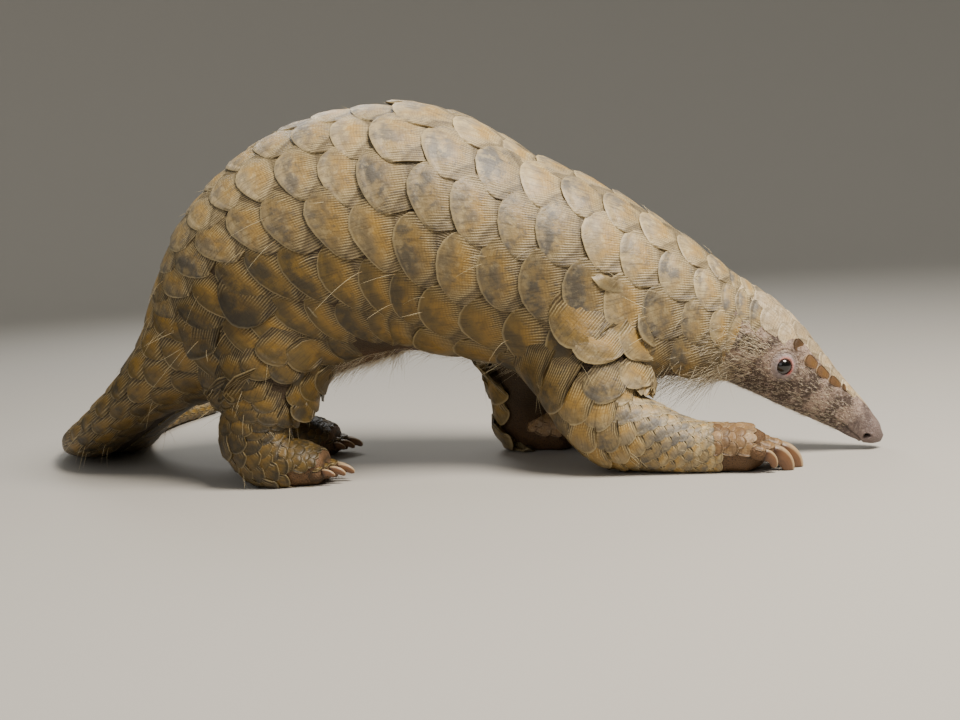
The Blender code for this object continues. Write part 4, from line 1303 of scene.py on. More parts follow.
@dataclass
class Eye:
    """One eyeball with a slightly proud clear front."""

    side: int
    segments: int = 40
    rings: int = 28
    cornea: float = 0.35 * MM

    def make(self) -> None:
        """Build and dress the eye."""
        name = "eyeball_right" if self.side > 0 else "eyeball_left"
        spot = Spot.on(SPINE_COURSE, EYE_PLACE, self.side)
        centre = spot.here - spot.out * EYE_DEPTH
        bpy.ops.object.select_all(action="DESELECT")
        bpy.ops.mesh.primitive_uv_sphere_add(segments=self.segments, ring_count=self.rings, radius=EYE_RADIUS)
        piece = bpy.context.object
        piece.name = name
        mesh = piece.data
        turn = Matrix((spot.ahead, np.cross(spot.out, spot.ahead), spot.out)).transposed().to_4x4()
        mesh.transform(turn)
        points = np.array([vert.co for vert in mesh.vertices])
        gaze = (points / EYE_RADIUS) @ spot.out
        points += spot.out * (self.cornea * np.clip((gaze - 0.75) / 0.25, 0, 1) ** 0.5)[:, None]
        mesh.vertices.foreach_set("co", (points + centre).astype(np.float32).ravel())
        layer = mesh.attributes.new("gaze", "FLOAT", "POINT")
        layer.data.foreach_set("value", gaze.astype(np.float32))
        mesh.shade_smooth()
        mesh.update()
        dress(piece, Look.EYE, "eye", "eye_right" if self.side > 0 else "eye_left")


# Scales

@dataclass(frozen=True)
class ScaleForm:
    """The shape of one scale, modelled once and laid on the body many times.

    Its free edge is a rounded half hexagon, and its root is narrower than its middle.
    """

    columns: int = 11
    rows: int = 5
    root_width: float = 0.60
    shares: tuple = (0.0, 0.40, 0.72, 0.92, 1.0)
    edge_drop: float = 0.5

    def make(self) -> tuple[np.ndarray, list, list]:
        """Model the scale.

        Returns:
            Its points as across share, root-to-tip share and height share, its faces, and
            their places on the blade map.
        """
        bpy.ops.object.select_all(action="DESELECT")
        bpy.ops.mesh.primitive_grid_add(x_subdivisions=self.columns - 1, y_subdivisions=self.rows - 1, size=2.0)
        piece = bpy.context.object
        for vert in piece.data.vertices:
            row = round((vert.co.y + 1) / 2 * (self.rows - 1))
            rim = self.edge_drop if row == self.rows - 1 else 0.0
            vert.co = (math.sin(vert.co.x * math.pi / 2), self.shares[row], 1.0 - rim)
        bpy.ops.object.mode_set(mode="EDIT")
        bpy.ops.mesh.select_all(action="SELECT")
        bpy.ops.mesh.region_to_loop()
        bpy.ops.mesh.extrude_region_move()
        bpy.ops.object.mode_set(mode="OBJECT")
        for vert in piece.data.vertices:
            if vert.select:
                vert.co.z = 0.0
        bpy.ops.object.mode_set(mode="EDIT")
        bpy.ops.mesh.edge_face_add()
        bpy.ops.mesh.select_all(action="SELECT")
        bpy.ops.mesh.normals_make_consistent(inside=False)
        bpy.ops.object.mode_set(mode="OBJECT")
        points = np.array([vert.co for vert in piece.data.vertices])
        groups: dict[int, list] = {}
        for polygon in piece.data.polygons:
            groups.setdefault(len(polygon.vertices), []).append(list(polygon.vertices))
        faces = [np.array(group) for group in groups.values()]
        blade = [np.stack([points[part][..., 0] * 0.5 + 0.5, points[part][..., 1]], axis=-1) for part in faces]
        bpy.data.objects.remove(piece, do_unlink=True)
        return points, faces, blade

    def width_at(self, share: np.ndarray) -> np.ndarray:
        """Give the half width from root to tip, as a share of the widest."""
        return self.root_width + (1 - self.root_width) * np.sin(np.pi / 2 * np.clip(share / 0.6, 0, 1))


@dataclass
class Place:
    """One scale on its course: its tip, its two spacings and its build."""

    along: float
    angle: float
    spacing: float
    step: float
    tilt: float = 0.0
    overlap: float = 1.78
    wide: float = 0.65
    depth: float = 0.72
    squareness: float = 1.8
    skew: float = 0.0
    climb: float = 0.135
    foot: float = -0.6 * MM
    thick: float = 1.5 * MM
    root_limit: float = 0.0
    # real bleaching mixed with painted light and shade: high for pale upper scales, low for darker lower and hind
    # ones
    weather: float = 0.5
    bare: bool = False

    @property
    def middle(self) -> tuple[np.ndarray, np.ndarray]:
        """Give the distance and the angle of the middle of the part that shows."""
        return np.array([self.along - 0.5 * self.spacing]), np.array([self.angle])


@dataclass
class Armour:
    """All scales of the body and the legs, in overlapping rows."""

    form: ScaleForm = ScaleForm()
    crown: float = 0.38
    camber: float = 0.050
    thin: float = 0.35
    full_thick_from: float = 0.020
    deepest: float = 0.45
    smooth_angle: float = 48.0
    small_smooth_angle: float = 60.0
    # the rows of neck and trunk, by distance along the body
    trunk_span: tuple = (0.126, 0.566)
    trunk_phase: float = 0.3636
    trunk_spacing: tuple = ((0.125, 0.0105), (0.142, 0.0140), (0.16, 0.0200), (0.186, 0.0265), (0.214, 0.0285),
                            (0.25, 0.0310), (0.32, 0.0285), (0.377, 0.0300), (0.42, 0.0275), (0.457, 0.0235),
                            (0.48, 0.0200), (0.52, 0.0180), (0.60, 0.0190))
    trunk_step: tuple = ((0.12, 34.0), (0.20, 33.0), (0.26, 31.5), (0.30, 30.5), (0.336, 27.5), (0.36, 25.3),
                         (0.42, 24.2), (0.52, 24.2), (0.60, 25.0))
    trunk_offset: tuple = ((0.12, -15.0), (0.20, -13.0), (0.26, -13.0), (0.30, -8.0), (0.336, 1.0), (0.36, 7.0),
                           (0.39, 8.5), (0.42, 6.0), (0.445, 1.0), (0.485, -5.0), (0.60, -5.0))
    trunk_shift: tuple = (0.28, 0.10, 0.03)
    even: float = 0.85
    tilt_limits: tuple = (6.0, 24.0)
    belly_angle: float = 146.0
    neck_root: float = 0.1265
    neck_least: float = 0.008
    neck_flank: float = 58.0
    # the tail and the head
    tail_span: tuple = (0.556, 0.998)
    tail_spacing: tuple = ((0.55, 0.0200), (0.62, 0.0235), (0.80, 0.0230), (0.95, 0.0160), (1.0, 0.0110))
    tail_step: float = 26.0
    tail_angle: float = 176.0
    cap_span: tuple = (0.050, 0.134)
    cap_spacing: tuple = ((0.05, 0.0125), (0.13, 0.0150))
    cap_wide_from: float = 0.097
    head_ovals: tuple = ((0.0925, 53.5, 9.0), (0.0785, 57.5, 10.5), (0.0665, 55.0, 10.5), (0.0548, 49.0, 10.0),
                         (0.0440, 37.0, 8.0))
    # the legs and feet, by distance along the leg
    fore_spacing: tuple = ((0.0, 0.029), (0.06, 0.027), (0.085, 0.023), (0.105, 0.017), (0.125, 0.0120),
                           (0.145, 0.0098), (0.17, 0.0088), (0.21, 0.0085))
    fore_step: tuple = ((0.0, 44.0), (0.06, 42.0), (0.09, 40.0), (0.115, 34.0), (0.15, 26.0), (0.21, 24.0))
    fore_tilt: tuple = ((0.02, 46.0), (0.06, 42.0), (0.105, 44.0), (0.150, 46.0), (0.180, 10.0))
    hind_spacing: tuple = ((0.0, 0.026), (0.045, 0.022), (0.075, 0.0155), (0.11, 0.0125), (0.17, 0.0105))
    hind_step: tuple = ((0.0, 40.0), (0.06, 34.0), (0.10, 30.0), (0.17, 30.0))
    hind_tilt: tuple = ((0.02, 46.0), (0.06, 30.0), (0.10, 12.0), (0.15, 0.0))
    leg_start: float = 0.022
    leg_reach: float = 118.0
    leg_drape: float = 0.010
    leg_drape_end: float = 0.10
    leg_facing: float = 0.62
    leg_clearance: float = 0.004
    foot_span: tuple = (0.028, 0.002)
    foot_spacing: tuple = (0.0105, 0.0095)
    foot_step: float = 28.0
    foot_angle: float = 95.0
    toe_tips: tuple = (0.62, 0.98)
    # how trunk scales lie over shoulders and hips
    flank: float = 48.0
    shoulder: tuple = (0.155, 0.345)
    hip: tuple = (0.40, 0.566)
    drape_limit: float = 0.034
    facing: float = 0.56
    fill: float = 0.030
    voxel: float = 0.005
    over: float = 0.06
    leg_over: float = 0.03
    sunk: float = 0.012
    least_run: float = 0.35
    least_turn: float = 0.00006
    rest_reach: float = 0.016
    steepest: float = 0.65
    edge_on: float = 0.4
    sink_tip: float = 0.12
    sink_root: float = 0.55
    stand_over: float = 0.06
    floor_edge: float = 0.3 * MM
    bare_gap: float = 0.75
    bare_overlap: float = 1.25

    def __post_init__(self) -> None:
        """Model the scale that all the others are copies of."""
        self.points, self.faces, self.blade = self.form.make()
        self.draw = np.random.default_rng(SEED)
        self.roots: list[tuple] = []
        self.trunk_centres: list[np.ndarray] = []
        self.surface: BVHTree | None = None
        self.smooth: BVHTree | None = None

    def bulge(self, course: Course, along: np.ndarray, angle: np.ndarray, high: float,
              surface: BVHTree | None = None) -> tuple:
        """Measure how far the hide stands out over a course's own surface.

        Args:
            course: the body.
            along: distances along it.
            angle: angles round it.
            high: the greatest height looked for.
            surface: the surface to measure, the plain hide if none is given.

        Returns:
            The height at each point, and how far the hide there faces the same way.
        """
        base = course.skin(along, angle)
        out = course.normal(along, angle)
        lift = np.zeros(len(base))
        facing = np.ones(len(base))
        for i, (place, way) in enumerate(zip(base, out)):
            hit, normal, _, reach = (surface or self.surface).ray_cast(Vector(place + way * high), Vector(-way),
                                                                       high + self.sunk)
            if hit is not None:
                lift[i] = high - reach
                facing[i] = abs(normal.dot(Vector(way)))
        return lift, facing

    def measure(self, course: Course, place: Place) -> tuple[float, float]:
        """Measure a course's surface under a scale.

        Args:
            course: the body.
            place: where the scale lies.

        Returns:
            The metres on the surface for each unit along the course, and for each degree round it.
        """
        along, angle = place.middle
        step = 0.003
        run = np.linalg.norm(course.skin(along + step, angle) - course.skin(along - step, angle)) / (2 * step)
        turn = np.linalg.norm(course.skin(along, angle + place.step) - course.skin(along, angle - place.step))
        return max(float(run), self.least_run), max(float(turn) / (2 * place.step), self.least_turn)

    def lay(self, sheets: Sheets, course: Course, place: Place, cell: np.ndarray,
            drape: np.ndarray | None = None) -> None:
        """Lay one scale on a body.

        Args:
            sheets: the mesh to add it to.
            course: the body.
            place: where it lies, and its build.
            cell: the centre and half sizes of its patch on the bake map.
            drape: the plane of the hide over the course, if the scale is draped.
        """
        run, turn = self.measure(course, place)
        spacing = place.spacing * run
        row = place.step * turn
        length = place.overlap * spacing
        if place.root_limit:
            length = min(length, (place.along - place.root_limit) * run)
        half = place.wide * row
        share, rise, height = self.points.T
        bend = np.clip(share - place.skew * (1 - share ** 2), -1, 1)
        power = place.squareness
        nose = 1 - (1 - np.abs(bend) ** power) ** (1 / power)
        depth = min(place.depth * half, self.deepest * length)
        back = (1 - rise) * length + nose * depth * rise ** 2
        across = share * half * self.form.width_at(rise)
        pivot = 0.5 * spacing
        tilt = math.radians(place.tilt)
        shifted = back - pivot
        back_turned = pivot + shifted * math.cos(tilt) + across * math.sin(tilt)
        across_turned = across * math.cos(tilt) - shifted * math.sin(tilt)
        along = place.along - back_turned / run
        angle = place.angle + across_turned / turn
        thick = place.thick * min(1.0, self.thin + (1 - self.thin) * spacing / self.full_thick_from)
        arch = rise ** 1.3 * (1 - self.crown * rise ** 4) / (1 - self.crown)
        top = place.foot + place.climb * spacing * arch - self.camber * row * share ** 2 * rise
        lift = top + (height - 1.0) * thick
        if drape is not None:
            plane = drape[0] + drape[1] * (back_turned - pivot) + drape[2] * across_turned
            out, facing = self.bulge(course, along, angle, self.over, self.smooth)
            out = np.where((facing < self.edge_on) | (out == 0.0), plane, out)
            below = self.sink_tip + self.sink_root * (1 - rise)
            lift = lift + np.clip(out, plane - below * spacing, plane + self.stand_over * spacing)
        laid = course.point(along, angle, lift)
        laid[:, 2] = np.maximum(laid[:, 2], FLOOR_LEVEL + self.floor_edge * height)
        own = place.depth * half
        edge = (length if place.bare else spacing) + own * nose
        gap = np.clip((row - np.abs(across)) / half, 0, 1)
        beside = 0.5 * spacing + own * (1 - (1 - gap ** power) ** (1 / power)) + np.where(gap >= 1, 1.0, 0.0)
        emerge = (np.minimum(edge, beside) - back) / spacing
        patch = [cell[:2] + (part - 0.5) * 2 * cell[2:] for part in self.blade]
        sheets.add(laid, self.faces, {BLADE_MAP: self.blade, BAKE_MAP: patch},
                   {"tone": self.draw.random(), "breadth": 2 * half, "reach": length, "emerge": emerge,
                    "weather": place.weather})

    def rest_on(self, course: Course, place: Place, high: float) -> tuple[np.ndarray, float]:
        """Fit one plane to the hide under and round a scale, so that neighbours lie alike.

        Args:
            course: the body.
            place: where the scale lies.
            high: the greatest height looked for over the course.

        Returns:
            The plane's height and its slopes towards the root and round the body, and how far the
            hide there faces the same way.
        """
        run, turn = self.measure(course, place)
        reach = max(1.15 * place.spacing * run, self.rest_reach)
        steps = np.linspace(-1, 1, 5) * reach
        back, across = (part.ravel() for part in np.meshgrid(steps, steps))
        out, facing = self.bulge(course, place.middle[0] - back / run,
                                 place.angle + across / turn, high, self.smooth)
        weight = np.exp(-(back ** 2 + across ** 2) / (0.9 * reach) ** 2)
        table = np.stack([np.ones(len(back)), back, across], axis=1)
        plane = np.linalg.lstsq(table * weight[:, None], out * weight, rcond=None)[0]
        plane[1:] = np.clip(plane[1:], -self.steepest, self.steepest)
        return plane, float((facing * weight).sum() / weight.sum())

    def body_cell(self, place: Place) -> np.ndarray:
        """Give a body scale's patch on the bake map."""
        half = [0.45 * place.spacing / SPINE_COURSE.length, 0.45 * place.step / FULL_TURN * 0.68]
        return np.concatenate([spine_map(*place.middle)[0], half])

    def row_stops(self, row: int) -> list[float]:
        """Give the tips' distances in one row of the trunk, evenly spaced on the curved surface.

        Args:
            row: the row's number, 0 along the back.

        Returns:
            The distances.
        """
        number = abs(row)
        total = sum(self.trunk_shift[:number]) + self.trunk_shift[-1] * max(0, number - len(self.trunk_shift))

        def stride(stop: float) -> float:
            """Give the distance to the next tip.

            Args:
                stop: this tip's distance.

            Returns:
                The distance between the two.
            """
            spacing = read_table(self.trunk_spacing, stop)
            if number >= len(self.trunk_shift):
                return spacing
            step = read_table(self.trunk_step, stop)
            own, low = (self.measure(SPINE_COURSE, Place(stop, step * side, spacing, step))[0]
                        for side in (number, len(self.trunk_shift)))
            return spacing * (low / own) ** self.even

        stops = [self.trunk_phase + total * read_table(self.trunk_spacing, self.trunk_phase)]
        while stops[-1] < self.trunk_span[1] + 0.01:
            stops.append(stops[-1] + stride(stops[-1]))
        while stops[0] > self.trunk_span[0] - 0.01:
            stops.insert(0, stops[0] - stride(stops[0] - 0.012))
        return stops

    def trunk_places(self) -> Iterator[Place]:
        """Give the places of the neck's and trunk's scales.

        Yields:
            The places, row by row.
        """
        start, end = self.trunk_span
        rows = {row: self.row_stops(row) for row in range(-6, 7)}
        for row, stops in rows.items():
            above = np.array(rows[row - (row > 0) + (row < 0)])
            for stop in stops:
                spacing = float(np.interp(stop, stops[1:], np.diff(stops)))
                along = stop + self.draw.uniform(-0.04, 0.04) * spacing
                step = read_table(self.trunk_step, along)
                angle = (read_table(self.trunk_offset, along) + step * row
                         + self.draw.uniform(-1.2, 1.2))
                if not start <= along <= end or abs(angle) > self.belly_angle:
                    continue
                place = Place(along, angle, spacing, step)
                run, turn = self.measure(SPINE_COURSE, place)
                shift = (stop - above[above <= stop + 0.001].max(initial=stop - 0.5 * spacing)) / spacing
                lean = math.degrees(math.atan((0.5 - shift) * spacing * run / (step * turn)))
                side = float(np.clip(angle / 30.0, -1, 1))
                place.tilt = side * float(np.clip(lean, *self.tilt_limits)) + self.draw.uniform(-3, 3)
                place.skew = -0.16 * side + self.draw.uniform(-0.08, 0.08)
                place.depth = 0.72 + self.draw.uniform(-0.08, 0.08)
                place.squareness = 1.78 + self.draw.uniform(-0.14, 0.16)
                place.wide = 0.665 + self.draw.uniform(-0.02, 0.02)
                # painted shading: upper scales paler, partly real bleaching and partly painted light; the neck
                # brighter as painted light; the lower rear flank darker as painted shade
                low = np.interp(along, [0.36, 0.56], [0, 0.35]) * np.interp(abs(angle), [50, 95], [0, 1])
                place.weather = float(np.interp(abs(angle), [35, 115], [1, -0.1])
                                      + np.interp(along, [0.16, 0.25], [0.5, 0]) - low)
                if abs(angle) > self.neck_flank:
                    place.root_limit = self.neck_root
                    if along - place.root_limit < self.neck_least:
                        continue
                yield place

    def near_leg(self, place: Place) -> bool:
        """Tell whether a trunk scale may lie over a shoulder or a hip."""
        spans = (self.shoulder, self.hip)
        return abs(place.angle) > self.flank and any(low < place.along < high for low, high in spans)

    def ahead(self, course: Course, place: Place, level: float) -> Vector:
        """Give the point where the scale that covers this one's root should lie.

        Args:
            course: the body.
            place: where this scale lies.
            level: the height of the hide over the course there.

        Returns:
            The point.
        """
        run, turn = self.measure(course, place)
        reach = place.spacing * run
        tilt = math.radians(place.tilt)
        along, angle = place.middle
        return Vector(course.point(along - reach * math.cos(tilt) / run, angle - reach * math.sin(tilt) / turn,
                                   level)[0])

    def uncover(self, course: Course, kept: list[tuple], tree: KDTree) -> None:
        """Shorten the scales whose roots no other scale covers, and keep their roots clean.

        Args:
            course: the body.
            kept: the scales' places and drapes.
            tree: the middles of all scales near by.
        """
        for place, drape in kept:
            _, _, reach = tree.find(self.ahead(course, place, 0.0 if drape is None else drape[0]))
            if reach > self.bare_gap * place.spacing:
                place.bare = True
                place.overlap = self.bare_overlap

    def trunk(self) -> None:
        """Lay the scales of neck and trunk, draped over shoulders and hips."""
        sheets = Sheets()
        kept = []
        for place in self.trunk_places():
            drape = None
            if self.near_leg(place):
                drape, facing = self.rest_on(SPINE_COURSE, place, self.over)
                if drape[0] > self.drape_limit or facing < self.facing:
                    continue
            kept.append((place, drape))
            level = 0.0 if drape is None else drape[0]
            out = SPINE_COURSE.normal(*place.middle)[0]
            self.trunk_centres.append(SPINE_COURSE.skin(*place.middle)[0] + out * level)
            self.roots.append((SPINE_COURSE, None, place, level))
        near = [(place, drape) for place, drape in kept if drape is not None]
        self.uncover(SPINE_COURSE, near, nearest(self.trunk_centres))
        for place, drape in kept:
            self.lay(sheets, SPINE_COURSE, place, self.body_cell(place), drape)
        dress(sheets.build("scales_trunk", self.smooth_angle), Look.SCALE, "scales")

    def tail(self) -> None:
        """Lay the scales of the tail in a plain staggered lattice."""
        sheets = Sheets()
        along, end = self.tail_span
        count = 0
        while along < end:
            spacing = read_table(self.tail_spacing, along)
            for row in range(-7, 8):
                angle = row * self.tail_step + self.draw.uniform(-1.0, 1.0)
                if (row + count) % 2 or abs(angle) > self.tail_angle:
                    continue
                # painted shade: lower tail scales darker, upper ones paler partly from real bleaching
                place = Place(along + self.draw.uniform(-0.04, 0.04) * spacing, angle, spacing, self.tail_step,
                              depth=0.80 + self.draw.uniform(-0.08, 0.08), climb=0.115, wide=0.68,
                              weather=float(np.interp(abs(angle), [30, 120], [0.45, -0.4])))
                place.along = min(place.along, SPINE_COURSE.length - 0.001)
                self.lay(sheets, SPINE_COURSE, place, self.body_cell(place))
                self.roots.append((SPINE_COURSE, None, place, 0.0))
            along += spacing / 2
            count += 1
        dress(sheets.build("scales_tail", self.smooth_angle), Look.SCALE, "scales")

    def head(self) -> None:
        """Lay the smooth cap of the head and the amber scales down its sides."""
        cap = Sheets()
        along, end = self.cap_span
        count = 0
        while along < end:
            spacing = read_table(self.cap_spacing, along)
            far = (-50.0, 50.0) if along > self.cap_wide_from else ()
            for angle in ((0.0, *far) if count % 2 else (-27.0, 27.0)):
                place = Place(along + self.draw.uniform(-0.05, 0.05) * spacing, angle, spacing, 27.0, climb=0.08,
                              foot=-0.25 * MM, wide=0.66, depth=0.80, squareness=2.0, thick=1.2 * MM, overlap=1.6,
                              weather=self.draw.uniform(0.7, 1.0))
                self.lay(cap, SPINE_COURSE, place, self.body_cell(place))
            along += spacing / 2
            count += 1
        ovals = Sheets()
        for along, angle, size in self.head_ovals:
            for side in (1, -1):
                spacing = size * MM
                place = Place(along + 0.5 * spacing, side * angle, spacing, 19.0, tilt=side * 14.0, climb=0.10,
                              foot=0.3 * MM, wide=0.52, depth=1.0, squareness=2.0, thick=1.6 * MM, overlap=1.15,
                              weather=self.draw.uniform(-0.5, 0.3), bare=True)
                lift, _ = self.bulge(SPINE_COURSE, np.array([along]), np.array([place.angle]), 0.01)
                self.lay(ovals, SPINE_COURSE, place, self.body_cell(place), np.array([lift[0], 0.0, 0.0]))
        pieces = [sheets.build(name, self.small_smooth_angle)
                  for name, sheets in (("scales_cap", cap), ("scales_brow", ovals))]
        dress(pieces[0], Look.CAP, "scales")
        dress(pieces[1], Look.AMBER, "scales")

    def leg_places(self, limb: Limb) -> Iterator[Place]:
        """Give the places of one leg's scales, from the shoulder or hip to the wrist.

        Args:
            limb: the leg.

        Yields:
            The places, ring by ring.
        """
        fore = limb.name.startswith("fore")
        spacings, steps, tilts = ((self.fore_spacing, self.fore_step, self.fore_tilt) if fore
                                  else (self.hind_spacing, self.hind_step, self.hind_tilt))
        way = math.copysign(1.0, limb.outer)
        along = self.leg_start
        count = 0
        while along < limb.course.length - limb.bare_from:
            spacing = read_table(spacings, along)
            step = read_table(steps, along)
            for row in range(-6, 7):
                turn = (row + 0.5 * (count % 2)) * step
                if abs(turn) > self.leg_reach:
                    continue
                angle = limb.outer + turn + self.draw.uniform(-2.0, 2.0)
                # painted shading: forelegs paler towards the paw and on their upper side as painted light, hind legs
                # darker as painted shade
                yield Place(along + self.draw.uniform(-0.06, 0.06) * spacing, angle, spacing, step,
                            tilt=way * read_table(tilts, along) + self.draw.uniform(-4, 4),
                            wide=0.64, depth=0.80 + self.draw.uniform(-0.08, 0.08), climb=0.22,
                            skew=self.draw.uniform(-0.12, 0.12), overlap=1.72,
                            weather=float(np.interp(along, [0.05, 0.11, 0.16], [0.05, 0.55, 0.85])
                                          + 0.3 * math.cos(math.radians(angle))) if fore else -0.55)
            along += spacing / 2
            count += 1

    def legs(self) -> None:
        """Lay the scales of the legs below the trunk's own, one piece a leg."""
        trunk = nearest(self.trunk_centres)
        for limb in LIMBS:
            sheets = Sheets()
            kept = []
            centres = []
            for place in self.leg_places(limb):
                drape, facing = self.rest_on(limb.course, place, self.leg_over)
                if drape[0] > self.leg_drape or facing < self.leg_facing:
                    continue
                drape = drape if place.along < self.leg_drape_end else None
                level = 0.0 if drape is None else drape[0]
                centre = limb.course.point(*place.middle, level)[0]
                if trunk.find(Vector(centre))[2] < 0.50 * place.spacing + self.leg_clearance:
                    continue
                kept.append((place, drape))
                centres.append(centre)
                self.roots.append((limb.course, limb, place, level))
            self.uncover(limb.course, kept, nearest(self.trunk_centres + centres))
            for place, drape in kept:
                along, angle = place.middle
                cell = limb_map(limb, along, (angle + 180) % FULL_TURN - 180)[0]
                half = [0.45 * place.spacing / limb.course.length * 0.23, 0.45 * place.step / FULL_TURN * 0.27]
                self.lay(sheets, limb.course, place, np.concatenate([cell, half]), drape)
            dress(sheets.build("scales_" + limb.name, self.smooth_angle), Look.SCALE, "scales")

    def paws(self) -> None:
        """Lay the long amber scales on top of the feet and toes."""
        sides = {True: Sheets(), False: Sheets()}
        for limb, paw in zip(LIMBS, FEET):
            fore = limb.name.startswith("fore")
            sheets = sides[fore]
            end = limb.course.length
            spacing = self.foot_spacing[not fore]
            start, stop = (end - margin for margin in self.foot_span)
            for count, along in enumerate(np.arange(start, stop, spacing / 2)):
                for row in range(-3, 4):
                    angle = (row + 0.5 * (count % 2)) * self.foot_step
                    if abs(angle) > self.foot_angle:
                        continue
                    # hind feet darker by painted shade
                    place = Place(float(along), angle, spacing, self.foot_step, climb=0.18, wide=0.60, depth=1.1,
                                  foot=-0.2 * MM, squareness=2.0, thick=1.6 * MM, overlap=1.5,
                                  weather=self.draw.uniform(0.1, 0.9) - (not fore))
                    centre = limb_map(limb, np.array([place.along]), np.array([angle]))[0]
                    self.lay(sheets, limb.course, place, np.append(centre, [0.006, 0.006]))
            for number, toe in enumerate(paw.toe_courses()):
                size = paw.knuckle[number]
                for tip in self.toe_tips:
                    # hind toes darker by painted shade
                    place = Place(tip * toe.length, 0.0, 1.35 * size, 66.0, climb=0.10, wide=1.0, depth=0.8,
                                  foot=-0.1 * MM, squareness=2.0, thick=1.5 * MM, overlap=1.3,
                                  weather=self.draw.uniform(0.1, 0.8) - (not fore))
                    self.lay(sheets, toe, place, np.append(toe_cell(limb, number), [0.004, 0.004]))
        for fore, sheets in sides.items():
            piece = sheets.build("scales_forepaws" if fore else "scales_hindfeet", self.small_smooth_angle)
            dress(piece, Look.AMBER if fore else Look.SCALE, "scales")

    def filled(self, hide: bpy.types.Object) -> BVHTree:
        """Give the hide with the folds between trunk and legs filled, as the scales lie over them.

        Args:
            hide: the finished hide, which is left as it is.

        Returns:
            The surface, swollen, melted into one skin and shrunk back.
        """
        copy = bpy.data.objects.new("filled", hide.data.copy())
        bpy.context.scene.collection.objects.link(copy)
        for kind, settings in (("DISPLACE", {"strength": self.fill, "mid_level": 0.0}),
                               ("REMESH", {"mode": "VOXEL", "voxel_size": self.voxel}),
                               ("SMOOTH", {"factor": 0.5, "iterations": 12}),
                               ("DISPLACE", {"strength": -self.fill, "mid_level": 0.0}),
                               ("SMOOTH", {"factor": 0.5, "iterations": 12})):
            modifier = copy.modifiers.new(kind.lower(), kind)
            for name, value in settings.items():
                setattr(modifier, name, value)
        graph = bpy.context.evaluated_depsgraph_get()
        graph.update()
        surface = BVHTree.FromObject(copy, graph)
        mesh = copy.data
        bpy.data.objects.remove(copy)
        bpy.data.meshes.remove(mesh)
        return surface

    def make(self, hide: bpy.types.Object) -> None:
        """Lay every scale on the finished hide.

        Args:
            hide: the hide.
        """
        work = bmesh.new()
        work.from_mesh(hide.data)
        self.surface = BVHTree.FromBMesh(work)
        work.free()
        self.smooth = self.filled(hide)
        self.head()
        self.trunk()
        self.tail()
        self.legs()
        self.paws()


# Hair

@dataclass(frozen=True)
class Coat:
    """One kind of hair: its length, thickness, lie and looseness."""

    length: tuple
    thick: float
    stand: float
    droop: float
    stray: float
    segments: int = 5


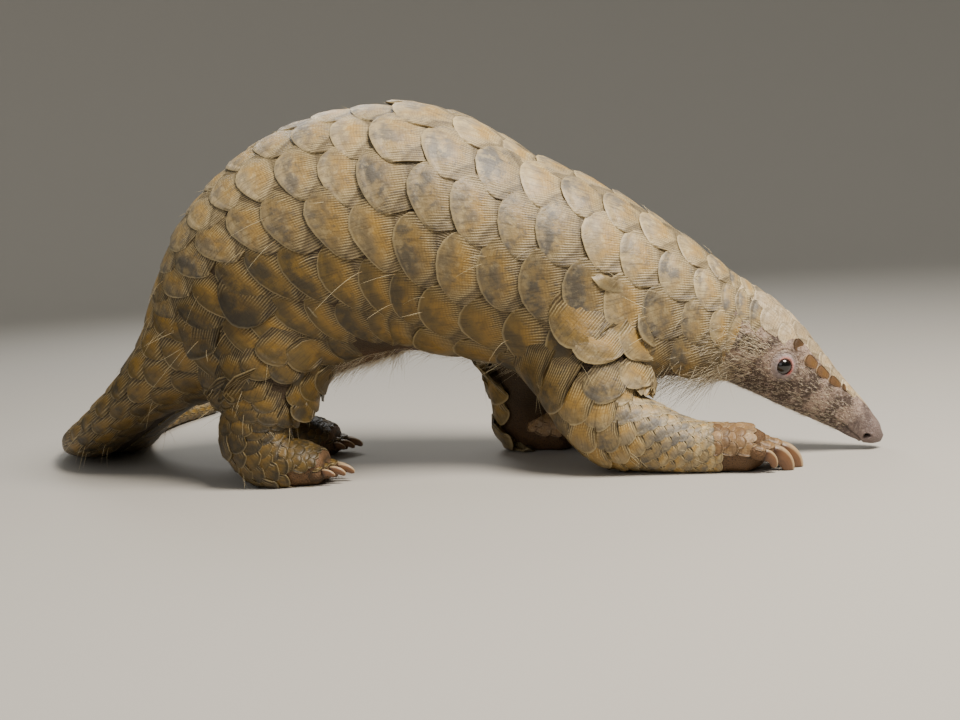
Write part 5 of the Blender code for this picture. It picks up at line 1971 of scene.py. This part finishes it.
@dataclass
class Hairs:
    """Hairs as thin three-sided strands, rooted on the hide."""

    fuzz: Coat = Coat((2.2 * MM, 4.8 * MM), 0.10 * MM, 0.40, 0.15, 0.35, 3)
    cheek: Coat = Coat((6 * MM, 13 * MM), 0.12 * MM, 0.50, 0.35, 0.60, 5)
    throat: Coat = Coat((12 * MM, 26 * MM), 0.14 * MM, 0.65, 0.55, 0.70, 6)
    tuft: Coat = Coat((5 * MM, 10 * MM), 0.12 * MM, 0.50, 0.10, 0.55, 4)
    belly_hair: Coat = Coat((7 * MM, 16 * MM), 0.13 * MM, 0.45, 0.25, 0.5, 4)
    # real bristles are 0.2 mm thick, drawn coarser so that they show
    back: Coat = Coat((4 * MM, 8 * MM), 0.20 * MM, 0.30, 0.05, 0.35, 4)
    flank: Coat = Coat((11 * MM, 25 * MM), 0.18 * MM, 0.42, 0.85, 0.55, 7)
    leg: Coat = Coat((6 * MM, 15 * MM), 0.16 * MM, 0.45, 0.70, 0.55, 6)
    seed: int = SEED + 3
    bristle_span: tuple = (0.16, 0.80)
    sparse_from: float = 0.56
    flank_angle: float = 62.0
    # how likely none, one, two and three bristles are at a scale
    low_counts: tuple = (0.62, 0.25, 0.10, 0.03)
    high_counts: tuple = (0.45, 0.35, 0.15, 0.05)

    def __post_init__(self) -> None:
        """Start the seeded draw."""
        self.draw = np.random.default_rng(self.seed)

    def grow(self, sheets: Sheets, coat: Coat, root: np.ndarray, out: np.ndarray, lie: np.ndarray,
             places: np.ndarray) -> None:
        """Add strands.

        Args:
            sheets: the mesh to add them to.
            coat: the kind of hair.
            root: where each strand starts.
            out: the skin's direction there.
            lie: the direction in which the coat lies.
            places: the roots on the bake map.
        """
        count = len(root)
        length = self.draw.uniform(*coat.length, count)[:, None]
        start = lie + out * coat.stand + self.draw.normal(0, coat.stray, (count, 3)) * 0.35
        start /= np.linalg.norm(start, axis=1)[:, None]
        bend = lie * 0.6 + np.array([0, 0, -coat.droop]) + self.draw.normal(0, coat.stray, (count, 3))
        side = np.cross(start, out)
        side /= np.maximum(np.linalg.norm(side, axis=1), 1e-6)[:, None]
        other = np.cross(start, side)
        steps = coat.segments
        rings = []
        reach = []
        for i in range(steps):
            t = i / steps
            centre = root + start * length * t + bend * length * 0.6 * t * t
            thick = coat.thick * (1 - 0.7 * t)
            for k in range(3):
                turn = k * math.tau / 3
                rings.append(centre + (side * math.cos(turn) + other * math.sin(turn)) * thick)
                reach.append(np.full(count, t))
        tip = root + start * length + bend * length * 0.6
        points = np.stack(rings + [tip], axis=1)
        points[..., 2] = np.maximum(points[..., 2], FLOOR_LEVEL)
        size = points.shape[1]
        quads = [(3 * i + k, 3 * i + (k + 1) % 3, 3 * i + 3 + (k + 1) % 3, 3 * i + 3 + k)
                 for i in range(steps - 1) for k in range(3)]
        last = 3 * (steps - 1)
        tris = [(last + k, last + (k + 1) % 3, size - 1) for k in range(3)] + [(2, 1, 0)]
        offset = np.arange(count)[:, None, None] * size
        quads = (np.array(quads)[None] + offset).reshape(-1, 4)
        tris = (np.array(tris)[None] + offset).reshape(-1, 3)
        height = np.stack(reach + [np.ones(count)], axis=1).ravel()
        tone = np.repeat(self.draw.random(count), size)
        maps = [places[part // size] + np.stack([(part % 3) / 3 - 0.5, height[part] - 0.5], axis=-1) * TUFT_PATCH
                for part in (quads, tris)]
        sheets.add(points.reshape(-1, 3), [quads, tris], {BAKE_MAP: maps}, {"reach": height, "tone": tone})

    def on_spine(self, sheets: Sheets, coat: Coat, count: int, along: tuple, angle: tuple) -> None:
        """Scatter strands over a stretch of the body, on both sides.

        Args:
            sheets: the mesh to add them to.
            coat: the kind of hair.
            count: how many.
            along: the lowest and highest distance along the body.
            angle: the lowest and highest angle from the back.
        """
        place = self.draw.uniform(*along, count)
        turn = self.draw.uniform(*angle, count) * self.draw.choice([-1, 1], count)
        root = SPINE_COURSE.point(place, turn, -0.2 * MM)
        out = SPINE_COURSE.normal(place, turn)
        keep = np.ones(count, bool)
        for side in (1, -1):
            ahead, up, away = Spot.on(SPINE_COURSE, EYE_PLACE, side).flat(root)
            keep &= ~((np.hypot(ahead, up) < 8.5 * MM) & (np.abs(away) < 0.012))
        lie = SPINE_COURSE.heading(place, turn)
        self.grow(sheets, coat, root[keep], out[keep], lie[keep], spine_map(place, turn)[keep])

    def face(self) -> None:
        """Grow the short hair of the cheeks and the shaggy hair of ears and throat."""
        sheets = Sheets()
        self.on_spine(sheets, self.fuzz, 1700, (0.050, 0.140), (64, 179))
        self.on_spine(sheets, self.fuzz, 350, (0.026, 0.055), (70, 175))
        self.on_spine(sheets, self.tuft, 260, (0.106, 0.128), (70, 98))
        self.on_spine(sheets, self.cheek, 560, (0.106, 0.150), (82, 150))
        self.on_spine(sheets, self.throat, 460, (0.116, 0.175), (118, 176))
        dress(sheets.build("hair_face"), Look.FUR, "skin")

    def belly(self) -> None:
        """Grow the sparse hair of the belly."""
        sheets = Sheets()
        self.on_spine(sheets, self.belly_hair, 1500, (0.20, 0.56), (148, 180))
        dress(sheets.build("hair_belly"), Look.FUR, "skin")

    def bristles(self, armour: Armour) -> None:
        """Grow the stiff bristles that come out between the scales.

        Args:
            armour: the scales that are laid.
        """
        sheets = Sheets()
        first, last = self.bristle_span
        for course, limb, place, level in armour.roots:
            if limb is None and not first <= place.along <= last:
                continue
            if (limb is not None or place.along > self.sparse_from) and self.draw.random() < 0.5:
                continue
            low = limb is not None or abs(place.angle) > self.flank_angle
            count = int(self.draw.choice(4, p=self.low_counts if low else self.high_counts))
            if not count:
                continue
            along = np.full(count, place.along - 0.15 * place.spacing)
            angle = place.angle + self.draw.uniform(-0.6, 0.6, count) * place.step
            root = course.point(along, angle, level + 0.10 * place.spacing)
            coat = self.leg if limb else self.flank if low else self.back
            places = limb_map(limb, along, (angle + 180) % FULL_TURN - 180) if limb else spine_map(along, angle)
            self.grow(sheets, coat, root, course.normal(along, angle), course.heading(along, angle), places)
        dress(sheets.build("bristles"), Look.BRISTLE, "skin")


# Studio

@dataclass
class Studio:
    """A pale floor that curves up all round, soft lights and the camera of the picture."""

    azimuth: float = 8.0
    elevation: float = 6.0
    distance: float = 1.0
    roll: float = -3.5
    lens: float = 50.0
    target: tuple = (0.0, 0.0, 0.0775)
    floor_radius: float = 2.6
    curve: float = 1.6
    wall: float = 3.4
    sides: int = 96

    def floor(self) -> None:
        """Spin the floor and its curved backdrop from one profile."""
        arc = [(self.floor_radius + self.curve * math.sin(t), self.curve * (1 - math.cos(t)))
               for t in np.linspace(0, math.pi / 2, 13)]
        profile = [(0.0, 0.0), (1.3, 0.0), *arc, (self.floor_radius + self.curve, self.wall)]
        mesh = bpy.data.meshes.new("studio_floor")
        mesh.from_pydata([(r, 0.0, z) for r, z in profile], [(i, i + 1) for i in range(len(profile) - 1)], [])
        floor = bpy.data.objects.new("studio_floor", mesh)
        bpy.context.scene.collection.objects.link(floor)
        select_only(floor)
        bpy.ops.object.mode_set(mode="EDIT")
        bpy.ops.mesh.select_all(action="SELECT")
        bpy.ops.mesh.spin(steps=self.sides, angle=math.tau, center=(0, 0, 0), axis=(0, 0, 1))
        bpy.ops.mesh.select_all(action="SELECT")
        bpy.ops.mesh.remove_doubles(threshold=0.0001)
        bpy.ops.mesh.normals_make_consistent(inside=True)
        bpy.ops.object.mode_set(mode="OBJECT")
        mesh.shade_smooth()
        mesh.materials.append(finish_of(Look.FLOOR))
        floor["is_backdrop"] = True

    def light(self, name: str, place: tuple, aim: tuple, size: float, power: float, tint: str) -> None:
        """Hang one soft light and aim it.

        Args:
            name: its name.
            place: where it hangs.
            aim: the point it faces.
            size: its diameter.
            power: its strength in watts.
            tint: its colour.
        """
        lamp = bpy.data.lights.new(name, "AREA")
        lamp.shape = "DISK"
        lamp.size = size
        lamp.energy = power
        lamp.color = linear(tint)[:3]
        holder = bpy.data.objects.new(name, lamp)
        holder.location = place
        holder.rotation_euler = (Vector(aim) - Vector(place)).to_track_quat("-Z", "Y").to_euler()
        bpy.context.scene.collection.objects.link(holder)

    def lights(self) -> None:
        """Hang the lights: a broad one above the shoulder, a weak fill and a low one behind."""
        self.light("key", (0.70, -0.60, 1.30), (0.03, -0.13, 0.12), 0.70, 42.0, "#fff6ea")
        self.light("fill", (-0.9, -1.7, 0.9), (0.0, -0.13, 0.1), 1.2, 4.0, "#f1f5ff")
        self.light("behind", (-0.5, 1.2, 1.3), (0, -0.13, 0.15), 0.8, 9.0, "#ffffff")
        world = bpy.data.worlds.new("studio")
        world.use_nodes = True
        world.node_tree.nodes["Background"].inputs["Color"].default_value = linear("#e4e6e4")
        world.node_tree.nodes["Background"].inputs["Strength"].default_value = 0.45
        bpy.context.scene.world = world

    def camera(self) -> None:
        """Set the camera at the picture's angle, distance and lens."""
        azimuth = math.radians(self.azimuth)
        elevation = math.radians(self.elevation)
        back = Vector((math.sin(azimuth) * math.cos(elevation), -math.cos(azimuth) * math.cos(elevation),
                       math.sin(elevation)))
        right = Vector((math.cos(azimuth), math.sin(azimuth), 0.0))
        up = back.cross(right)
        roll = math.radians(self.roll)
        leaning = right * math.cos(roll) + up * math.sin(roll)
        upright = back.cross(leaning)
        data = bpy.data.cameras.new("camera")
        data.lens = self.lens
        data.sensor_width = 36.0
        data.clip_start = 0.01
        holder = bpy.data.objects.new("camera", data)
        place = Vector(self.target) + Vector(SHIFT) + back * self.distance
        holder.matrix_world = Matrix.Translation(place) @ Matrix((leaning, upright, back)).transposed().to_4x4()
        bpy.context.scene.collection.objects.link(holder)
        bpy.context.scene.camera = holder


def write_sizes() -> None:
    """Work out the solids' box and the dressed model's box."""
    boxes = {"cad": CAD_BOX, "visual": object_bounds()}
    plain = {name: [[float(value) for value in corner] for corner in box] for name, box in boxes.items()}


def main() -> None:
    """Build every piece in order."""
    logging.basicConfig(level=logging.INFO, format="%(name)s: %(message)s")
    studio = Studio()
    studio.camera()
    studio.floor()
    studio.lights()
    hide = Skin().make()
    for side in (1, -1):
        Eye(side).make()
    for foot in FEET:
        foot.claws()
    armour = Armour()
    armour.make(hide)
    hairs = Hairs()
    hairs.face()
    hairs.belly()
    hairs.bristles(armour)
    write_sizes()


if __name__ == "__main__":
    main()
